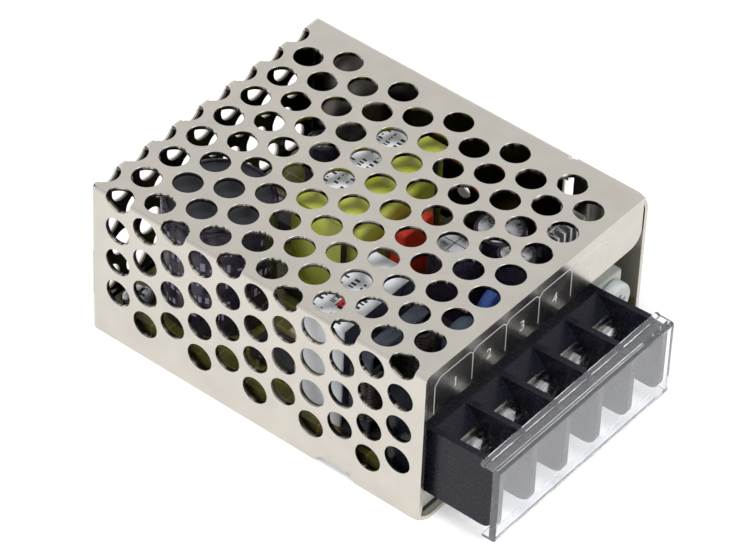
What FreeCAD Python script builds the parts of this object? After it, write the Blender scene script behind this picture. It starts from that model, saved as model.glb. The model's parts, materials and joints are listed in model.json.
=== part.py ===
import FreeCAD, Part
import math
import os

from FreeCAD import Vector

# Enclosed switching supply in millimetres: X runs from the rear to the terminals, Y from the
# perforated side to the plain side, Z up from the underside of the floor.

# Case
case_length = 62.4
case_width = 51.5
case_height = 28.0
sheet = 0.7
bend_radius = 1.2
lie_gap = 0.05

# Cover edges
flange_length = 48.5
flange_depth = 5.0
front_edge_setback = 0.84
relief_width = 0.8
relief_depth = 0.6
lip_depth = 8.4
lip_gap = 0.2
lip_right_setback = 1.1
lip_corner_radius = 2.5
side_foot_start = 42.8
side_foot_end = 50.2
side_foot_rise = 1.3
side_foot_ramp = 1.5
seam_start = 6.5
seam_length = 8.5
seam_offset = 0.25
seam_width = 0.35

# Perforation
hole_radius = 2.28
hole_sides = 8
hole_pitch = 6.07
first_column = 5.4
top_fold_row = 0.36
side_fold_row = 27.73
rear_fold_row = 27.85
rear_first_row = 23.3
edge_margin = 1.5
foot_margin = 3.0

# Tray
tray_front_overhang = 0.6
floor_corner_radius = 2.0
side_step = 2.0
wall_slot_width = 1.4
tab_setback = 0.6
tab_top_drop = 0.6
tab_corner_radius = 2.0
wall_top_drop = 1.25
left_flange_height = 3.5
rear_flange_height = 5.0
flange_end_gap = 1.6
wall_end_gap = 0.1
flange_front_setback = 1.5

# Threaded mounting holes in the tray
mount_hole_radius = 1.25
mount_collar_radius = 2.2
mount_collar_height = 1.0
floor_mount_first = 11.2
floor_mount_spacing = 40.0
floor_mount_row = 25.75
wall_mount_x = 31.0
wall_mount_z = 12.0

# Board and its bosses
board_underside = 3.0
board_thickness = 1.6
board_clearance = 0.45
board_right_clearance = 0.65
board_front_setback = 1.4
boss_radius = 3.3
boss_chamfer = 0.6
boss_hole_radius = 1.25
boss_corner_limit = 12.0
boss_right_inset = 5.3
screwed_bosses = ((5.0, 5.0), (5.0, case_width - boss_right_inset), (40.5, case_width - boss_right_inset))
plain_boss = (50.0, 6.0)
board_hole_radius = 1.7

# Insulation sheet
film = 0.4
film_inset = 1.3
film_front_setback = 1.0
film_rise = 3.1
film_hole_gap = 0.4

# Board and cover screws
board_screw_head_radius = 2.6
board_screw_head_height = 1.5
board_screw_chamfer = 0.5
board_screw_length = 3.6
board_screw_gap = 0.05
cover_screw_places = (12.0, 37.5)
cover_screw_head_radius = 1.9
cover_screw_chamfer = 0.6
cover_screw_radius = 0.95
cover_screw_length = 3.0
cover_screw_collar_radius = 1.55
cover_screw_drop = 3.0

# Terminal block
way_count = 5
way_pitch = 7.62
wall_thickness = 1.1
block_left = 2.0
block_rear = 54.0
block_seat_end = 61.2
block_bottom = 4.3
block_front = 73.7
spine_front = 65.2
spine_slope = 2.9
wall_top_rear = 16.6
wall_top_front = 17.1
wall_step = 71.7
wall_step_height = 16.25
block_corner_radius = 2.0

# Tabs, clamp plates and screws
tab_thickness = 0.8
tab_half_width = 2.9
tab_top = 14.0
tab_bottom = 8.5
tab_leg_rear = 58.0
tab_leg_half_width = 1.1
tab_pin_bottom = 2.0
plate_thickness = 1.1
plate_half_width = 2.95
plate_bottom = 9.3
plate_corner = 0.5
plate_hole_radius = 1.7
plate_gap = 0.05
screw_height = 12.3
screw_head_radius = 2.4
screw_head_sides = 16
screw_head_thickness = 1.8
screw_radius = 1.4
screw_sides = 10
screw_length = 5.0
screw_run_gap = 0.1
screw_well_gap = 0.3
screw_well_extra = 0.6
cross_length = 2.8
cross_width = 0.6
cross_depth = 0.7

# Clear cover of the terminals
cover_left = 1.3
cover_right = 42.0
cover_plate_thickness = 1.25
cover_front_gap = 0.05
cover_flange_thickness = 0.7
cover_bottom = 3.1
cover_foot_height = 0.5
cover_foot_rear = 72.5
cover_edge_radius = 0.6
bar_x = 72.05
bar_z = 16.75
bar_radius = 0.55
bar_notch_gap = 0.08
bar_sides = 12

# Trimmer
trimmer_right_inset = 6.7
trimmer_z = 11.9
trimmer_rear = 56.0
trimmer_depth = 5.2
trimmer_half_width = 3.3
knob_radius = 3.0
knob_face = 63.4
knob_thickness = 2.05
knob_chamfer = 0.35
knob_shaft_radius = 1.0
knob_shaft_length = 3.0
knob_shaft_gap = 0.07
knob_sides = 24
knob_shaft_sides = 12
knob_cross_length = 3.6
knob_cross_width = 0.8
knob_cross_depth = 0.6

# Mains capacitor, transformer and the other large pieces on the board
main_capacitor_centre = (13.7, 13.0)
main_capacitor_radius = 8.6
main_capacitor_room = 3.0
main_capacitor_rim = 0.7
main_capacitor_sides = 30
transformer_rear = 20.0
transformer_front = 32.0
transformer_left = 20.2
transformer_right = 43.8
transformer_room = 4.0
core_half_depth = 4.0
core_bar = 2.4
core_leg_half_width = 4.0
bobbin_base = 3.4
winding_gap = 0.1
x_capacitor_box = ((36.0, 3.5), (44.8, 20.0))
x_capacitor_room = 4.5
choke_rear = 45.6
choke_front = 51.0
choke_left = 4.0
choke_right = 18.0
choke_room = 7.0
choke_core_bar = 2.6
choke_base = 1.5
choke_coil_gap = 0.1
choke_coil_growth = 1.2

# Pieces that stand on two wire legs
leg_half_width = 0.3
leg_spread = 2.5
thermistor_centre = (52.3, 21.4, 14.2)
thermistor_radius = 3.6
thermistor_thickness = 2.6
y_capacitor_centre = (52.4, 28.6, 15.9)
y_capacitor_radius = 3.3
y_capacitor_thickness = 2.2

# Upright round capacitors, each with centre, radius and height above the board
output_cans = ((43.8, 30.2, 4.0, 17.4), (45.4, 39.0, 4.0, 15.4), (50.4, 36.4, 3.0, 15.2))
supply_can = (10.0, 41.0, 2.5, 11.0)

# Low boxes on the board, each with its low corner, size and height
fuse_height = 8.0
bridge_height = 3.2
chip_height = 3.5
opto_height = 3.6
snubber_height = 15.0
chip_width = 6.4
fuse_box = ((42.0, 21.0), (8.2, 4.2), fuse_height)
bridge_box = ((25.4, 5.5), (8.5, chip_width), bridge_height)
chip_box = ((7.4, 28.4), (9.4, chip_width), chip_height)
opto_box = ((33.6, 20.8), (4.6, chip_width), opto_height)
snubber_box = ((33.2, 28.4), (2.8, 7.2), snubber_height)

# Output rectifier, its heatsink and the output choke
heatsink_rear = 50.9
heatsink_front = 53.7
heatsink_right_inset = 2.8
heatsink_width = 6.8
heatsink_room = 7.5
heatsink_web = 1.0
rib_thickness = 0.6
rib_count = 5
diode_thickness = 2.4
diode_half_width = 2.6
diode_bottom = 8.0
diode_top = 17.0
rod_centre = (37.4, 38.5)
rod_radius = 1.6
rod_height = 12.0
coil_radius = 3.2
coil_gap = 0.1
coil_height = 9.5
resistor_places = ((28.0, 15.8), (12.5, 25.2), (35.2, 45.4))
resistor_radius = 1.1
resistor_length = 6.0

# Facets round the small pieces that repeat, and round the cans on the board
small_sides = 10
can_sides = 16

# Sizes that follow from the ones above
trimmer_y = case_width - trimmer_right_inset
heatsink_right = case_width - heatsink_right_inset
heatsink_left = heatsink_right - heatsink_width
column_step = hole_pitch * math.cos(math.radians(30))
board_top = board_underside + board_thickness
tray_rear = sheet + lie_gap
tray_right = case_width - sheet - lie_gap
tray_front = case_length + tray_front_overhang
block_width = way_count * way_pitch + wall_thickness
block_right = block_left + block_width
plate_rear = spine_front + plate_gap
head_rear = plate_rear + plate_thickness
overall_length = block_front + cover_front_gap + cover_plate_thickness
screw_row = case_height - cover_screw_drop
main_capacitor_top = case_height - main_capacitor_room
transformer_top = case_height - transformer_room
x_capacitor_top = case_height - x_capacitor_room
choke_top = case_height - choke_room
heatsink_top = case_height - heatsink_room


def box(low, high):
    size = Vector(*high) - Vector(*low)
    return Part.makeBox(size.x, size.y, size.z, Vector(*low))


def rod(radius, length, start, along):
    return Part.makeCylinder(radius, length, Vector(*start), Vector(*along))


def outline(points):
    return Part.makePolygon([Vector(*point) for point in points + points[:1]])


def plate_along_y(points, y, width):
    face = Part.Face(outline([(x, y, z) for x, z in points]))
    return face.extrude(Vector(0, width, 0))


# The closed outline of a many-sided section with the area of the circle that it stands for
def ring(radius, sides, centre, axis):
    reach = radius * math.sqrt(math.tau / (sides * math.sin(math.tau / sides)))
    corners = []
    for n in range(sides):
        turn = math.tau * (n + 0.5) / sides
        across = reach * math.cos(turn)
        up = reach * math.sin(turn)
        spread = {"x": (0, across, up), "y": (across, 0, up), "z": (across, up, 0)}[axis]
        corners.append(tuple(s + d for s, d in zip(centre, spread)))
    return outline(corners)


def moved(start, length, axis):
    return tuple(s + (length if name == axis else 0) for s, name in zip(start, "xyz"))


def many_sided(radius, sides, length, start, axis):
    travel = Vector(*moved((0, 0, 0), length, axis))
    return Part.Face(ring(radius, sides, start, axis)).extrude(travel)


# The same with its far rim chamfered
def rimmed(radius, sides, length, start, axis, chamfer):
    prism = many_sided(radius, sides, length, start, axis)
    far = dict(zip("xyz", moved(start, length, axis)))[axis]
    return prism.makeChamfer(chamfer, edges_at(prism, **{axis: far}))


def edges_at(shape, **place):
    found = []
    for edge in shape.Edges:
        ends = [vertex.Point for vertex in edge.Vertexes]
        if all(abs(getattr(end, axis) - value) < 1e-6 for end in ends for axis, value in place.items()):
            found.append(edge)
    return found


def upright_edges_at(shape, x, y):
    return edges_at(shape, x=x, y=y)


def cross(centre, length, width, depth):
    x, y, z = centre
    arm = box((x - depth, y - length / 2, z - width / 2), (x + depth, y + length / 2, z + width / 2))
    post = box((x - depth, y - width / 2, z - length / 2), (x + depth, y + width / 2, z + length / 2))
    return arm.fuse(post)


def way_centre(way):
    return block_left + wall_thickness / 2 + (way + 0.5) * way_pitch


# Row starts alternate from one column to the next, and odd columns start half a pitch later
def top_hole_centres():
    columns = int((case_length - edge_margin - hole_radius - first_column) / column_step) + 1
    centres = []
    for column in range(-1, columns):
        x = first_column + column * column_step
        y = top_fold_row + (column % 2) * hole_pitch / 2
        while y + hole_radius + edge_margin <= case_width:
            centres.append((x, y))
            y += hole_pitch
    return centres


def side_hole_centres():
    columns = int((case_length - edge_margin - hole_radius - first_column) / column_step) + 1
    centres = []
    for column in range(columns):
        x = first_column + column * column_step
        z = side_fold_row - (column % 2) * hole_pitch / 2
        while z - hole_radius >= foot_margin:
            centres.append((x, z))
            z -= hole_pitch
    return centres


def rear_hole_centres():
    rows = [rear_fold_row]
    z = rear_first_row
    while z - hole_radius >= foot_margin:
        rows.append(z)
        z -= column_step
    centres = []
    for row, z in enumerate(rows):
        y = top_fold_row + hole_pitch * (1.0 if row % 2 else 0.5)
        while y + hole_radius + edge_margin <= case_width:
            centres.append((y, z))
            y += hole_pitch
    return centres


def punched(cover):
    through = bend_radius + lie_gap
    above = bend_radius
    top = [many_sided(hole_radius, hole_sides, through + above, (x, y, case_height - through), "z")
           for x, y in top_hole_centres()]
    side = [many_sided(hole_radius, hole_sides, through + above, (x, -above, z), "y")
            for x, z in side_hole_centres()]
    rear = [many_sided(hole_radius, hole_sides, through + above, (-above, y, z), "x")
            for y, z in rear_hole_centres()]
    for tools in (top, side, rear):
        cover = cover.cut(Part.makeCompound(tools))
    return cover


def cover_lip():
    bottom = case_height - lip_depth
    left = sheet + lip_gap
    right = case_width - lip_right_setback
    lip = box((case_length - sheet - lie_gap, left, bottom), (case_length + sheet, right, case_height))
    corner = [edge for edge in edges_at(lip, y=right, z=bottom)]
    return lip.makeFillet(lip_corner_radius, corner)


def perforated_cover():
    outer = box((0, 0, 0), (case_length, case_width, case_height))
    bends = edges_at(outer, y=0, z=case_height) + edges_at(outer, x=0, z=case_height)
    bends += edges_at(outer, x=case_length, z=case_height) + edges_at(outer, y=case_width, z=case_height)
    bends += upright_edges_at(outer, 0, 0)
    outer = outer.makeFillet(bend_radius, bends)

    far_x = case_length - sheet
    far_y = case_width - sheet
    far_z = case_height - sheet
    inner = box((sheet, sheet, -sheet), (far_x, far_y, far_z))
    bends = edges_at(inner, y=sheet, z=far_z) + edges_at(inner, x=sheet, z=far_z)
    bends += edges_at(inner, x=far_x, z=far_z) + edges_at(inner, y=far_y, z=far_z)
    bends += upright_edges_at(inner, sheet, sheet)
    inner = inner.makeFillet(bend_radius - sheet, bends)
    cover = outer.cut(inner)

    below = -sheet
    beyond = case_length + sheet
    wide = case_width + sheet
    flange_bottom = case_height - flange_depth
    fold_bottom = case_height - bend_radius
    right_wall = box((below, far_y, below), (beyond, wide, flange_bottom))
    corner_relief = box((below, far_y, below), (bend_radius, wide, fold_bottom))
    front_edge = case_width - front_edge_setback
    front_right = box((flange_length, front_edge, below), (beyond, wide, case_height + sheet))
    relief = box((flange_length, front_edge - relief_depth, fold_bottom),
                 (flange_length + relief_width, wide, case_height + sheet))
    front_wall = box((far_x - lie_gap, sheet, below), (beyond, wide, fold_bottom)).cut(cover_lip())
    cover = cover.cut([right_wall, corner_relief, front_right, relief, front_wall])

    foot = [(side_foot_start, below), (side_foot_start, 0), (side_foot_start + side_foot_ramp, side_foot_rise),
            (side_foot_end - sheet, side_foot_rise), (side_foot_end, sheet), (beyond, sheet), (beyond, below)]
    side_foot = plate_along_y(foot, below, 2 * sheet + lie_gap)
    seam = box((seam_offset, below, seam_start), (seam_offset + seam_width, sheet, seam_start + seam_length))
    cover = cover.cut([side_foot, seam])
    for x in cover_screw_places:
        cover = cover.cut(countersink(x))
    return punched(cover)


# The countersunk heads of the cover screws lie flush with the flange
def countersink(x):
    return rimmed(cover_screw_head_radius, small_sides, -sheet - lie_gap, (x, case_width, screw_row), "y",
                  cover_screw_chamfer)


def chassis_tray():
    top = case_height - wall_top_drop
    rear = box((tray_rear, tray_rear, 0), (flange_length + sheet, tray_right, top))
    bends = edges_at(rear, y=tray_rear, z=0) + edges_at(rear, x=tray_rear, z=0)
    bends += edges_at(rear, y=tray_right, z=0) + upright_edges_at(rear, tray_rear, tray_rear)
    rear = rear.makeFillet(bend_radius, bends)
    low = tray_rear + sheet
    far_y = tray_right - sheet
    hollow = box((low, low, sheet), (flange_length + 2 * sheet, far_y, case_height))
    bends = edges_at(hollow, y=low, z=sheet) + edges_at(hollow, x=low, z=sheet)
    bends += edges_at(hollow, y=far_y, z=sheet)
    rear = rear.cut(hollow.makeFillet(bend_radius - sheet, bends))

    # The low flanges stop short of the corners, as folded sheet must
    left_top = box((0, 0, left_flange_height), (flange_length + 2 * sheet, low, case_height))
    left_rear = box((0, 0, bend_radius), (low + flange_end_gap, low, case_height))
    left_front = box((flange_length - flange_front_setback, 0, bend_radius), (flange_length + 2 * sheet, low, case_height))
    rear_top = box((0, 0, rear_flange_height), (low, far_y, case_height))
    rear_right = box((0, far_y - flange_end_gap, bend_radius), (low, far_y, case_height))
    wall_rear = box((0, far_y - lie_gap, bend_radius), (tray_rear + wall_end_gap, case_width, case_height))
    rear = rear.cut([left_top, left_rear, left_front, rear_top, rear_right, wall_rear])

    front = box((flange_length, 0, 0), (tray_front, case_width, case_height - tab_top_drop))
    front = front.makeFillet(bend_radius, edges_at(front, y=case_width, z=0))
    inner_y = case_width - sheet
    hollow = box((0, -sheet, sheet), (tray_front + sheet, inner_y, case_height))
    front = front.cut(hollow.makeFillet(bend_radius - sheet, edges_at(hollow, y=inner_y, z=sheet)))
    front = front.makeFillet(floor_corner_radius, upright_edges_at(front, tray_front, 0))
    step = box((0, -sheet, -sheet), (flange_length + side_step, tray_rear, sheet + lie_gap))
    tab_front = box((tray_front - tab_setback, inner_y - bend_radius, bend_radius),
                    (tray_front + sheet, case_width + sheet, case_height))
    front = front.cut([step, tab_front])
    tab_edge = edges_at(front, x=tray_front - tab_setback, z=case_height - tab_top_drop)
    front = front.makeFillet(tab_corner_radius, tab_edge)

    tray = rear.fuse(front)
    slot_start = flange_length - sheet / 2
    slot = box((slot_start, far_y - sheet, -sheet),
               (slot_start + wall_slot_width, case_width + sheet, case_height))
    tray = tray.cut(slot)
    for x, y in screwed_bosses + (plain_boss,):
        tray = with_boss(tray, x, y)
    for x, y in screwed_bosses:
        tray = tray.cut(many_sided(boss_hole_radius, small_sides, board_underside, (x, y, 0), "z"))
    for n in range(2):
        tray = with_collar(tray, (floor_mount_first + n * floor_mount_spacing, floor_mount_row, 0), "z", 1)
    tray = with_collar(tray, (wall_mount_x, tray_right, wall_mount_z), "y", -1)
    for x in cover_screw_places:
        collar = many_sided(cover_screw_collar_radius, small_sides, -2 * sheet, (x, tray_right, screw_row), "y")
        hole = many_sided(cover_screw_radius + lie_gap, small_sides, -cover_screw_length - sheet,
                          (x, case_width, screw_row), "y")
        tray = tray.fuse(collar).cut(hole)
    return tray.removeSplitter()


# A boss pressed up from the floor, open below
def with_boss(tray, x, y):
    start = (x, y, 0)
    outer = rimmed(boss_radius, small_sides, board_underside, start, "z", boss_chamfer)
    inner = rimmed(boss_radius - sheet, small_sides, board_underside - sheet, start, "z", boss_chamfer)
    return tray.fuse(outer).cut(inner)


# A drawn collar round a threaded hole, on the inner side of the sheet
def with_collar(tray, start, axis, way_in):
    length = way_in * (sheet + mount_collar_height)
    collar = many_sided(mount_collar_radius, small_sides, length, start, axis)
    bore = rod(mount_hole_radius, abs(length), start, moved((0, 0, 0), way_in, axis))
    return tray.fuse(collar).cut(bore)


def cover_screws():
    screws = []
    for x in cover_screw_places:
        start = (x, case_width - lie_gap, screw_row)
        head = rimmed(cover_screw_head_radius - lie_gap, small_sides, -sheet, start, "y", cover_screw_chamfer)
        shank = many_sided(cover_screw_radius, small_sides, -cover_screw_length, start, "y")
        screws.append(head.fuse(shank))
    return Part.makeCompound(screws)


def insulation_sheet():
    left = tray_rear + film_inset
    right = tray_right - film_inset
    front = case_length - film_front_setback
    low = sheet + lie_gap
    film_sheet = box((left, left, low), (front, right, low + film))
    upturn = box((front - film, left, low), (front, right, low + film_rise))
    film_sheet = film_sheet.fuse(upturn)
    reach = boss_radius + film_hole_gap
    holes = []
    for x, y in screwed_bosses + (plain_boss,):
        # Bosses near a corner or an edge leave an open notch
        low_x = 0 if x < boss_corner_limit else x - reach
        low_y = 0 if y < boss_corner_limit else y - reach
        high_y = case_width if y > case_width - boss_corner_limit else y + reach
        holes.append(box((low_x, low_y, 0), (x + reach, high_y, board_underside)))
    for n in range(2):
        place = (floor_mount_first + n * floor_mount_spacing, floor_mount_row, 0)
        holes.append(many_sided(mount_collar_radius + film_hole_gap, small_sides, board_underside, place, "z"))
    return film_sheet.cut(holes)


def circuit_board():
    low = tray_rear + sheet + board_clearance
    right = tray_right - sheet - board_right_clearance
    board = box((low, low, board_underside), (case_length - board_front_setback, right, board_top))
    holes = [many_sided(board_hole_radius, small_sides, board_thickness, (x, y, board_underside), "z")
             for x, y in screwed_bosses]
    for way in range(way_count):
        y = way_centre(way)
        reach = tab_leg_half_width + 2 * lie_gap
        holes.append(box((tab_leg_rear - lie_gap, y - reach, board_underside),
                         (tab_leg_rear + tab_thickness + lie_gap, y + reach, board_top)))
    return board.cut(holes)


def board_screws():
    screws = []
    radius = boss_hole_radius - board_screw_gap
    for x, y in screwed_bosses:
        head = rimmed(board_screw_head_radius, small_sides, board_screw_head_height, (x, y, board_top), "z",
                      board_screw_chamfer)
        shank = many_sided(radius, small_sides, -board_screw_length, (x, y, board_top), "z")
        screws.append(head.fuse(shank))
    return Part.makeCompound(screws)


def terminal_block():
    slope_top = spine_front - spine_slope
    slope_bottom = wall_top_rear - spine_slope
    seat = [(block_rear, board_top), (block_seat_end, board_top), (block_seat_end, block_bottom)]
    spine = plate_along_y(seat + [(spine_front, block_bottom), (spine_front, slope_bottom),
                                  (slope_top, wall_top_rear), (block_rear, wall_top_rear)],
                          block_left, block_width)
    walls = []
    for n in range(way_count + 1):
        y = block_left + n * way_pitch
        wall = plate_along_y(seat + [(block_front, block_bottom), (block_front, wall_step_height),
                                     (wall_step, wall_step_height), (wall_step, wall_top_front),
                                     (slope_top, wall_top_rear), (block_rear, wall_top_rear)],
                             y, wall_thickness)
        wall = wall.makeFillet(block_corner_radius, edges_at(wall, x=block_front, z=block_bottom))
        walls.append(wall)
    block = spine.fuse(walls)

    tools = [many_sided(bar_radius + bar_notch_gap, bar_sides, block_width, (bar_x, block_left, bar_z), "y")]
    for way in range(way_count):
        y = way_centre(way)
        side = tab_half_width + lie_gap
        tools.append(box((spine_front - tab_thickness - lie_gap, y - side, tab_bottom - lie_gap),
                         (block_front, y + side, tab_top + lie_gap)))
        side = tab_leg_half_width + lie_gap
        tools.append(box((tab_leg_rear - lie_gap, y - side, 0), (spine_front - lie_gap, y + side,
                                                                tab_bottom + tab_thickness + lie_gap)))
        well = screw_length - plate_thickness - plate_gap + screw_well_extra
        tools.append(many_sided(screw_radius + screw_well_gap, screw_sides, well,
                                (spine_front - well, y, screw_height), "x"))
    return block.cut(tools).removeSplitter()


def terminal_tabs():
    tabs = []
    rear = spine_front - tab_thickness
    for way in range(way_count):
        y = way_centre(way)
        plate = box((rear, y - tab_half_width, tab_bottom), (spine_front, y + tab_half_width, tab_top))
        leg = box((tab_leg_rear, y - tab_leg_half_width, tab_bottom),
                  (rear, y + tab_leg_half_width, tab_bottom + tab_thickness))
        pin = box((tab_leg_rear, y - tab_leg_half_width, tab_pin_bottom),
                  (tab_leg_rear + tab_thickness, y + tab_leg_half_width, tab_bottom))
        hole = many_sided(screw_radius + screw_run_gap, screw_sides, tab_thickness,
                          (rear, y, screw_height), "x")
        tabs.append(plate.fuse([leg, pin]).cut(hole))
    return Part.makeCompound(tabs)


def clamp_plate(way):
    y = way_centre(way)
    plate = box((plate_rear, y - plate_half_width, plate_bottom), (head_rear, y + plate_half_width, tab_top))
    corners = edges_at(plate, y=y - plate_half_width, z=tab_top)
    corners += edges_at(plate, y=y + plate_half_width, z=tab_top)
    plate = plate.makeChamfer(plate_corner, corners)
    return plate.cut(many_sided(plate_hole_radius, screw_sides, plate_thickness,
                                (plate_rear, y, screw_height), "x"))


def terminal_screw(way):
    y = way_centre(way)
    head = many_sided(screw_head_radius, screw_head_sides, screw_head_thickness,
                      (head_rear, y, screw_height), "x")
    face = head_rear + screw_head_thickness
    head = head.cut(cross((face, y, screw_height), cross_length, cross_width, cross_depth))
    shank = many_sided(screw_radius, screw_sides, screw_length, (head_rear - screw_length, y, screw_height), "x")
    return head.fuse(shank)


def terminal_cover():
    width = cover_right - cover_left
    rear = block_front + cover_front_gap
    top = bar_z + cover_flange_thickness / 2
    bar = many_sided(bar_radius, bar_sides, width, (bar_x, cover_left, bar_z), "y")
    flange = box((bar_x, cover_left, top - cover_flange_thickness), (overall_length, cover_right, top))
    plate = box((rear, cover_left, cover_bottom), (overall_length, cover_right, top))
    foot = box((cover_foot_rear, cover_left, cover_bottom),
               (overall_length, cover_right, cover_bottom + cover_foot_height))
    flap = flange.fuse([plate, foot]).removeSplitter()
    rounded = edges_at(flap, x=overall_length, z=top) + edges_at(flap, x=overall_length, z=cover_bottom)
    return flap.makeFillet(cover_edge_radius, rounded).fuse(bar)


def trimmer_body():
    front = trimmer_rear + trimmer_depth
    body = box((trimmer_rear, trimmer_y - trimmer_half_width, board_top),
               (front, trimmer_y + trimmer_half_width, trimmer_z + trimmer_half_width))
    bore = many_sided(knob_shaft_radius + knob_shaft_gap, knob_shaft_sides, -knob_shaft_length - lie_gap,
                      (front, trimmer_y, trimmer_z), "x")
    return body.cut(bore)


def trimmer_knob():
    rear = knob_face - knob_thickness
    knob = many_sided(knob_radius, knob_sides, knob_thickness, (rear, trimmer_y, trimmer_z), "x")
    knob = knob.makeChamfer(knob_chamfer, edges_at(knob, x=knob_face))
    shaft_rear = trimmer_rear + trimmer_depth - knob_shaft_length
    shaft = many_sided(knob_shaft_radius, knob_shaft_sides, rear - shaft_rear,
                       (shaft_rear, trimmer_y, trimmer_z), "x")
    slot = cross((knob_face, trimmer_y, trimmer_z), knob_cross_length, knob_cross_width, knob_cross_depth)
    return knob.cut(slot).fuse(shaft)


def main_capacitor():
    x, y = main_capacitor_centre
    can = many_sided(main_capacitor_radius, main_capacitor_sides, main_capacitor_top - board_top,
                     (x, y, board_top), "z")
    return can.makeChamfer(main_capacitor_rim, edges_at(can, z=main_capacitor_top))


def transformer_middle():
    return ((transformer_rear + transformer_front) / 2, (transformer_left + transformer_right) / 2)


def transformer_core():
    x, y = transformer_middle()
    base = board_top + bobbin_base
    rear = x - core_half_depth
    front = x + core_half_depth
    core = box((rear, transformer_left, base), (front, transformer_right, transformer_top))
    low = base + core_bar
    high = transformer_top - core_bar
    leg_left = y - core_leg_half_width
    leg_right = y + core_leg_half_width
    left_window = box((rear, transformer_left + core_bar, low), (front, leg_left, high))
    right_window = box((rear, leg_right, low), (front, transformer_right - core_bar, high))
    return core.cut([left_window, right_window])


def transformer_winding():
    x, y = transformer_middle()
    low = board_top + bobbin_base + core_bar + winding_gap
    high = transformer_top - core_bar - winding_gap
    inset = core_bar + winding_gap
    coil = box((transformer_rear, transformer_left + inset, low),
               (transformer_front, transformer_right - inset, high))
    hollow = box((x - core_half_depth - winding_gap, y - core_leg_half_width - winding_gap, low),
                 (x + core_half_depth + winding_gap, y + core_leg_half_width + winding_gap, high))
    sides = edges_at(coil, x=transformer_rear, y=transformer_left + inset)
    sides += edges_at(coil, x=transformer_rear, y=transformer_right - inset)
    sides += edges_at(coil, x=transformer_front, y=transformer_left + inset)
    sides += edges_at(coil, x=transformer_front, y=transformer_right - inset)
    return coil.makeChamfer(core_bar / 2, sides).cut(hollow)


def transformer_bobbin():
    return box((transformer_rear, transformer_left, board_top),
               (transformer_front, transformer_right, board_top + bobbin_base))


def x_capacitor():
    low, high = x_capacitor_box
    return box(low + (board_top,), high + (x_capacitor_top,))


def choke_legs():
    left = choke_left + choke_core_bar / 2
    right = choke_right - choke_core_bar / 2
    return left, right


def filter_choke_core():
    middle = (choke_rear + choke_front) / 2
    rear = middle - choke_core_bar / 2
    front = middle + choke_core_bar / 2
    low = board_top + choke_base
    core = box((rear, choke_left, low), (front, choke_right, choke_top))
    window = box((rear, choke_left + choke_core_bar, low + choke_core_bar),
                 (front, choke_right - choke_core_bar, choke_top - choke_core_bar))
    return core.cut(window)


def filter_choke_winding():
    middle = (choke_rear + choke_front) / 2
    low = board_top + choke_base + choke_core_bar + choke_coil_gap
    high = choke_top - choke_core_bar - choke_coil_gap
    inner = choke_core_bar / 2 + choke_coil_gap
    outer = inner + choke_coil_growth
    coils = []
    for y in choke_legs():
        coil = box((middle - outer, y - outer, low), (middle + outer, y + outer, high))
        coils.append(coil.cut(box((middle - inner, y - inner, low), (middle + inner, y + inner, high))))
    return Part.makeCompound(coils)


def filter_choke_bobbin():
    return box((choke_rear, choke_left - choke_core_bar / 2, board_top),
               (choke_front, choke_right + choke_core_bar / 2, board_top + choke_base))


# A flat round piece across X that stands on two wire legs
def disc_on_legs(centre, radius, thickness):
    x, y, z = centre
    piece = many_sided(radius, can_sides, thickness, (x - thickness / 2, y, z), "x")
    legs = []
    for side in (-1, 1):
        middle = y + side * leg_spread
        legs.append(box((x - leg_half_width, middle - leg_half_width, board_top),
                        (x + leg_half_width, middle + leg_half_width, z)))
    return piece.fuse(legs)


def upright_can(can):
    x, y, radius, height = can
    return many_sided(radius, can_sides, height, (x, y, board_top), "z")


def low_box(place):
    (x, y), (length, width), height = place
    return box((x, y, board_top), (x + length, y + width, board_top + height))


def diode_heatsink():
    sink = box((heatsink_rear, heatsink_left, board_top),
               (heatsink_rear + heatsink_web, heatsink_right, heatsink_top))
    step = (heatsink_right - heatsink_left - rib_thickness) / (rib_count - 1)
    ribs = []
    for n in range(rib_count):
        y = heatsink_left + n * step
        ribs.append(box((heatsink_rear, y, board_top), (heatsink_front, y + rib_thickness, heatsink_top)))
    return sink.fuse(ribs).removeSplitter()


def output_diode():
    y = (heatsink_left + heatsink_right) / 2
    rear = heatsink_rear - diode_thickness
    package = box((rear, y - diode_half_width, diode_bottom), (heatsink_rear, y + diode_half_width, diode_top))
    middle = rear + diode_thickness / 2
    legs = []
    for side in (-1, 0, 1):
        centre = y + side * leg_spread * 0.7
        legs.append(box((middle - leg_half_width, centre - leg_half_width, board_top),
                        (middle + leg_half_width, centre + leg_half_width, diode_bottom)))
    return package.fuse(legs)


def output_choke_core():
    x, y = rod_centre
    return many_sided(rod_radius, small_sides, rod_height, (x, y, board_top), "z")


def output_choke_winding():
    x, y = rod_centre
    low = (rod_height - coil_height) / 2
    start = (x, y, board_top + low)
    coil = many_sided(coil_radius, can_sides, coil_height, start, "z")
    return coil.cut(many_sided(rod_radius + coil_gap, small_sides, coil_height, start, "z"))


def small_resistors():
    lift = board_top + lie_gap + resistor_radius
    pieces = [many_sided(resistor_radius, small_sides, resistor_length, (x, y - resistor_length / 2, lift), "y")
              for x, y in resistor_places]
    return Part.makeCompound(pieces)


def save(name, shape):
    shape = shape.copy()
    shape.translate(Vector(-overall_length / 2, -case_width / 2, 0))
    shape.exportStep("parts/" + name + ".step")


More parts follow.
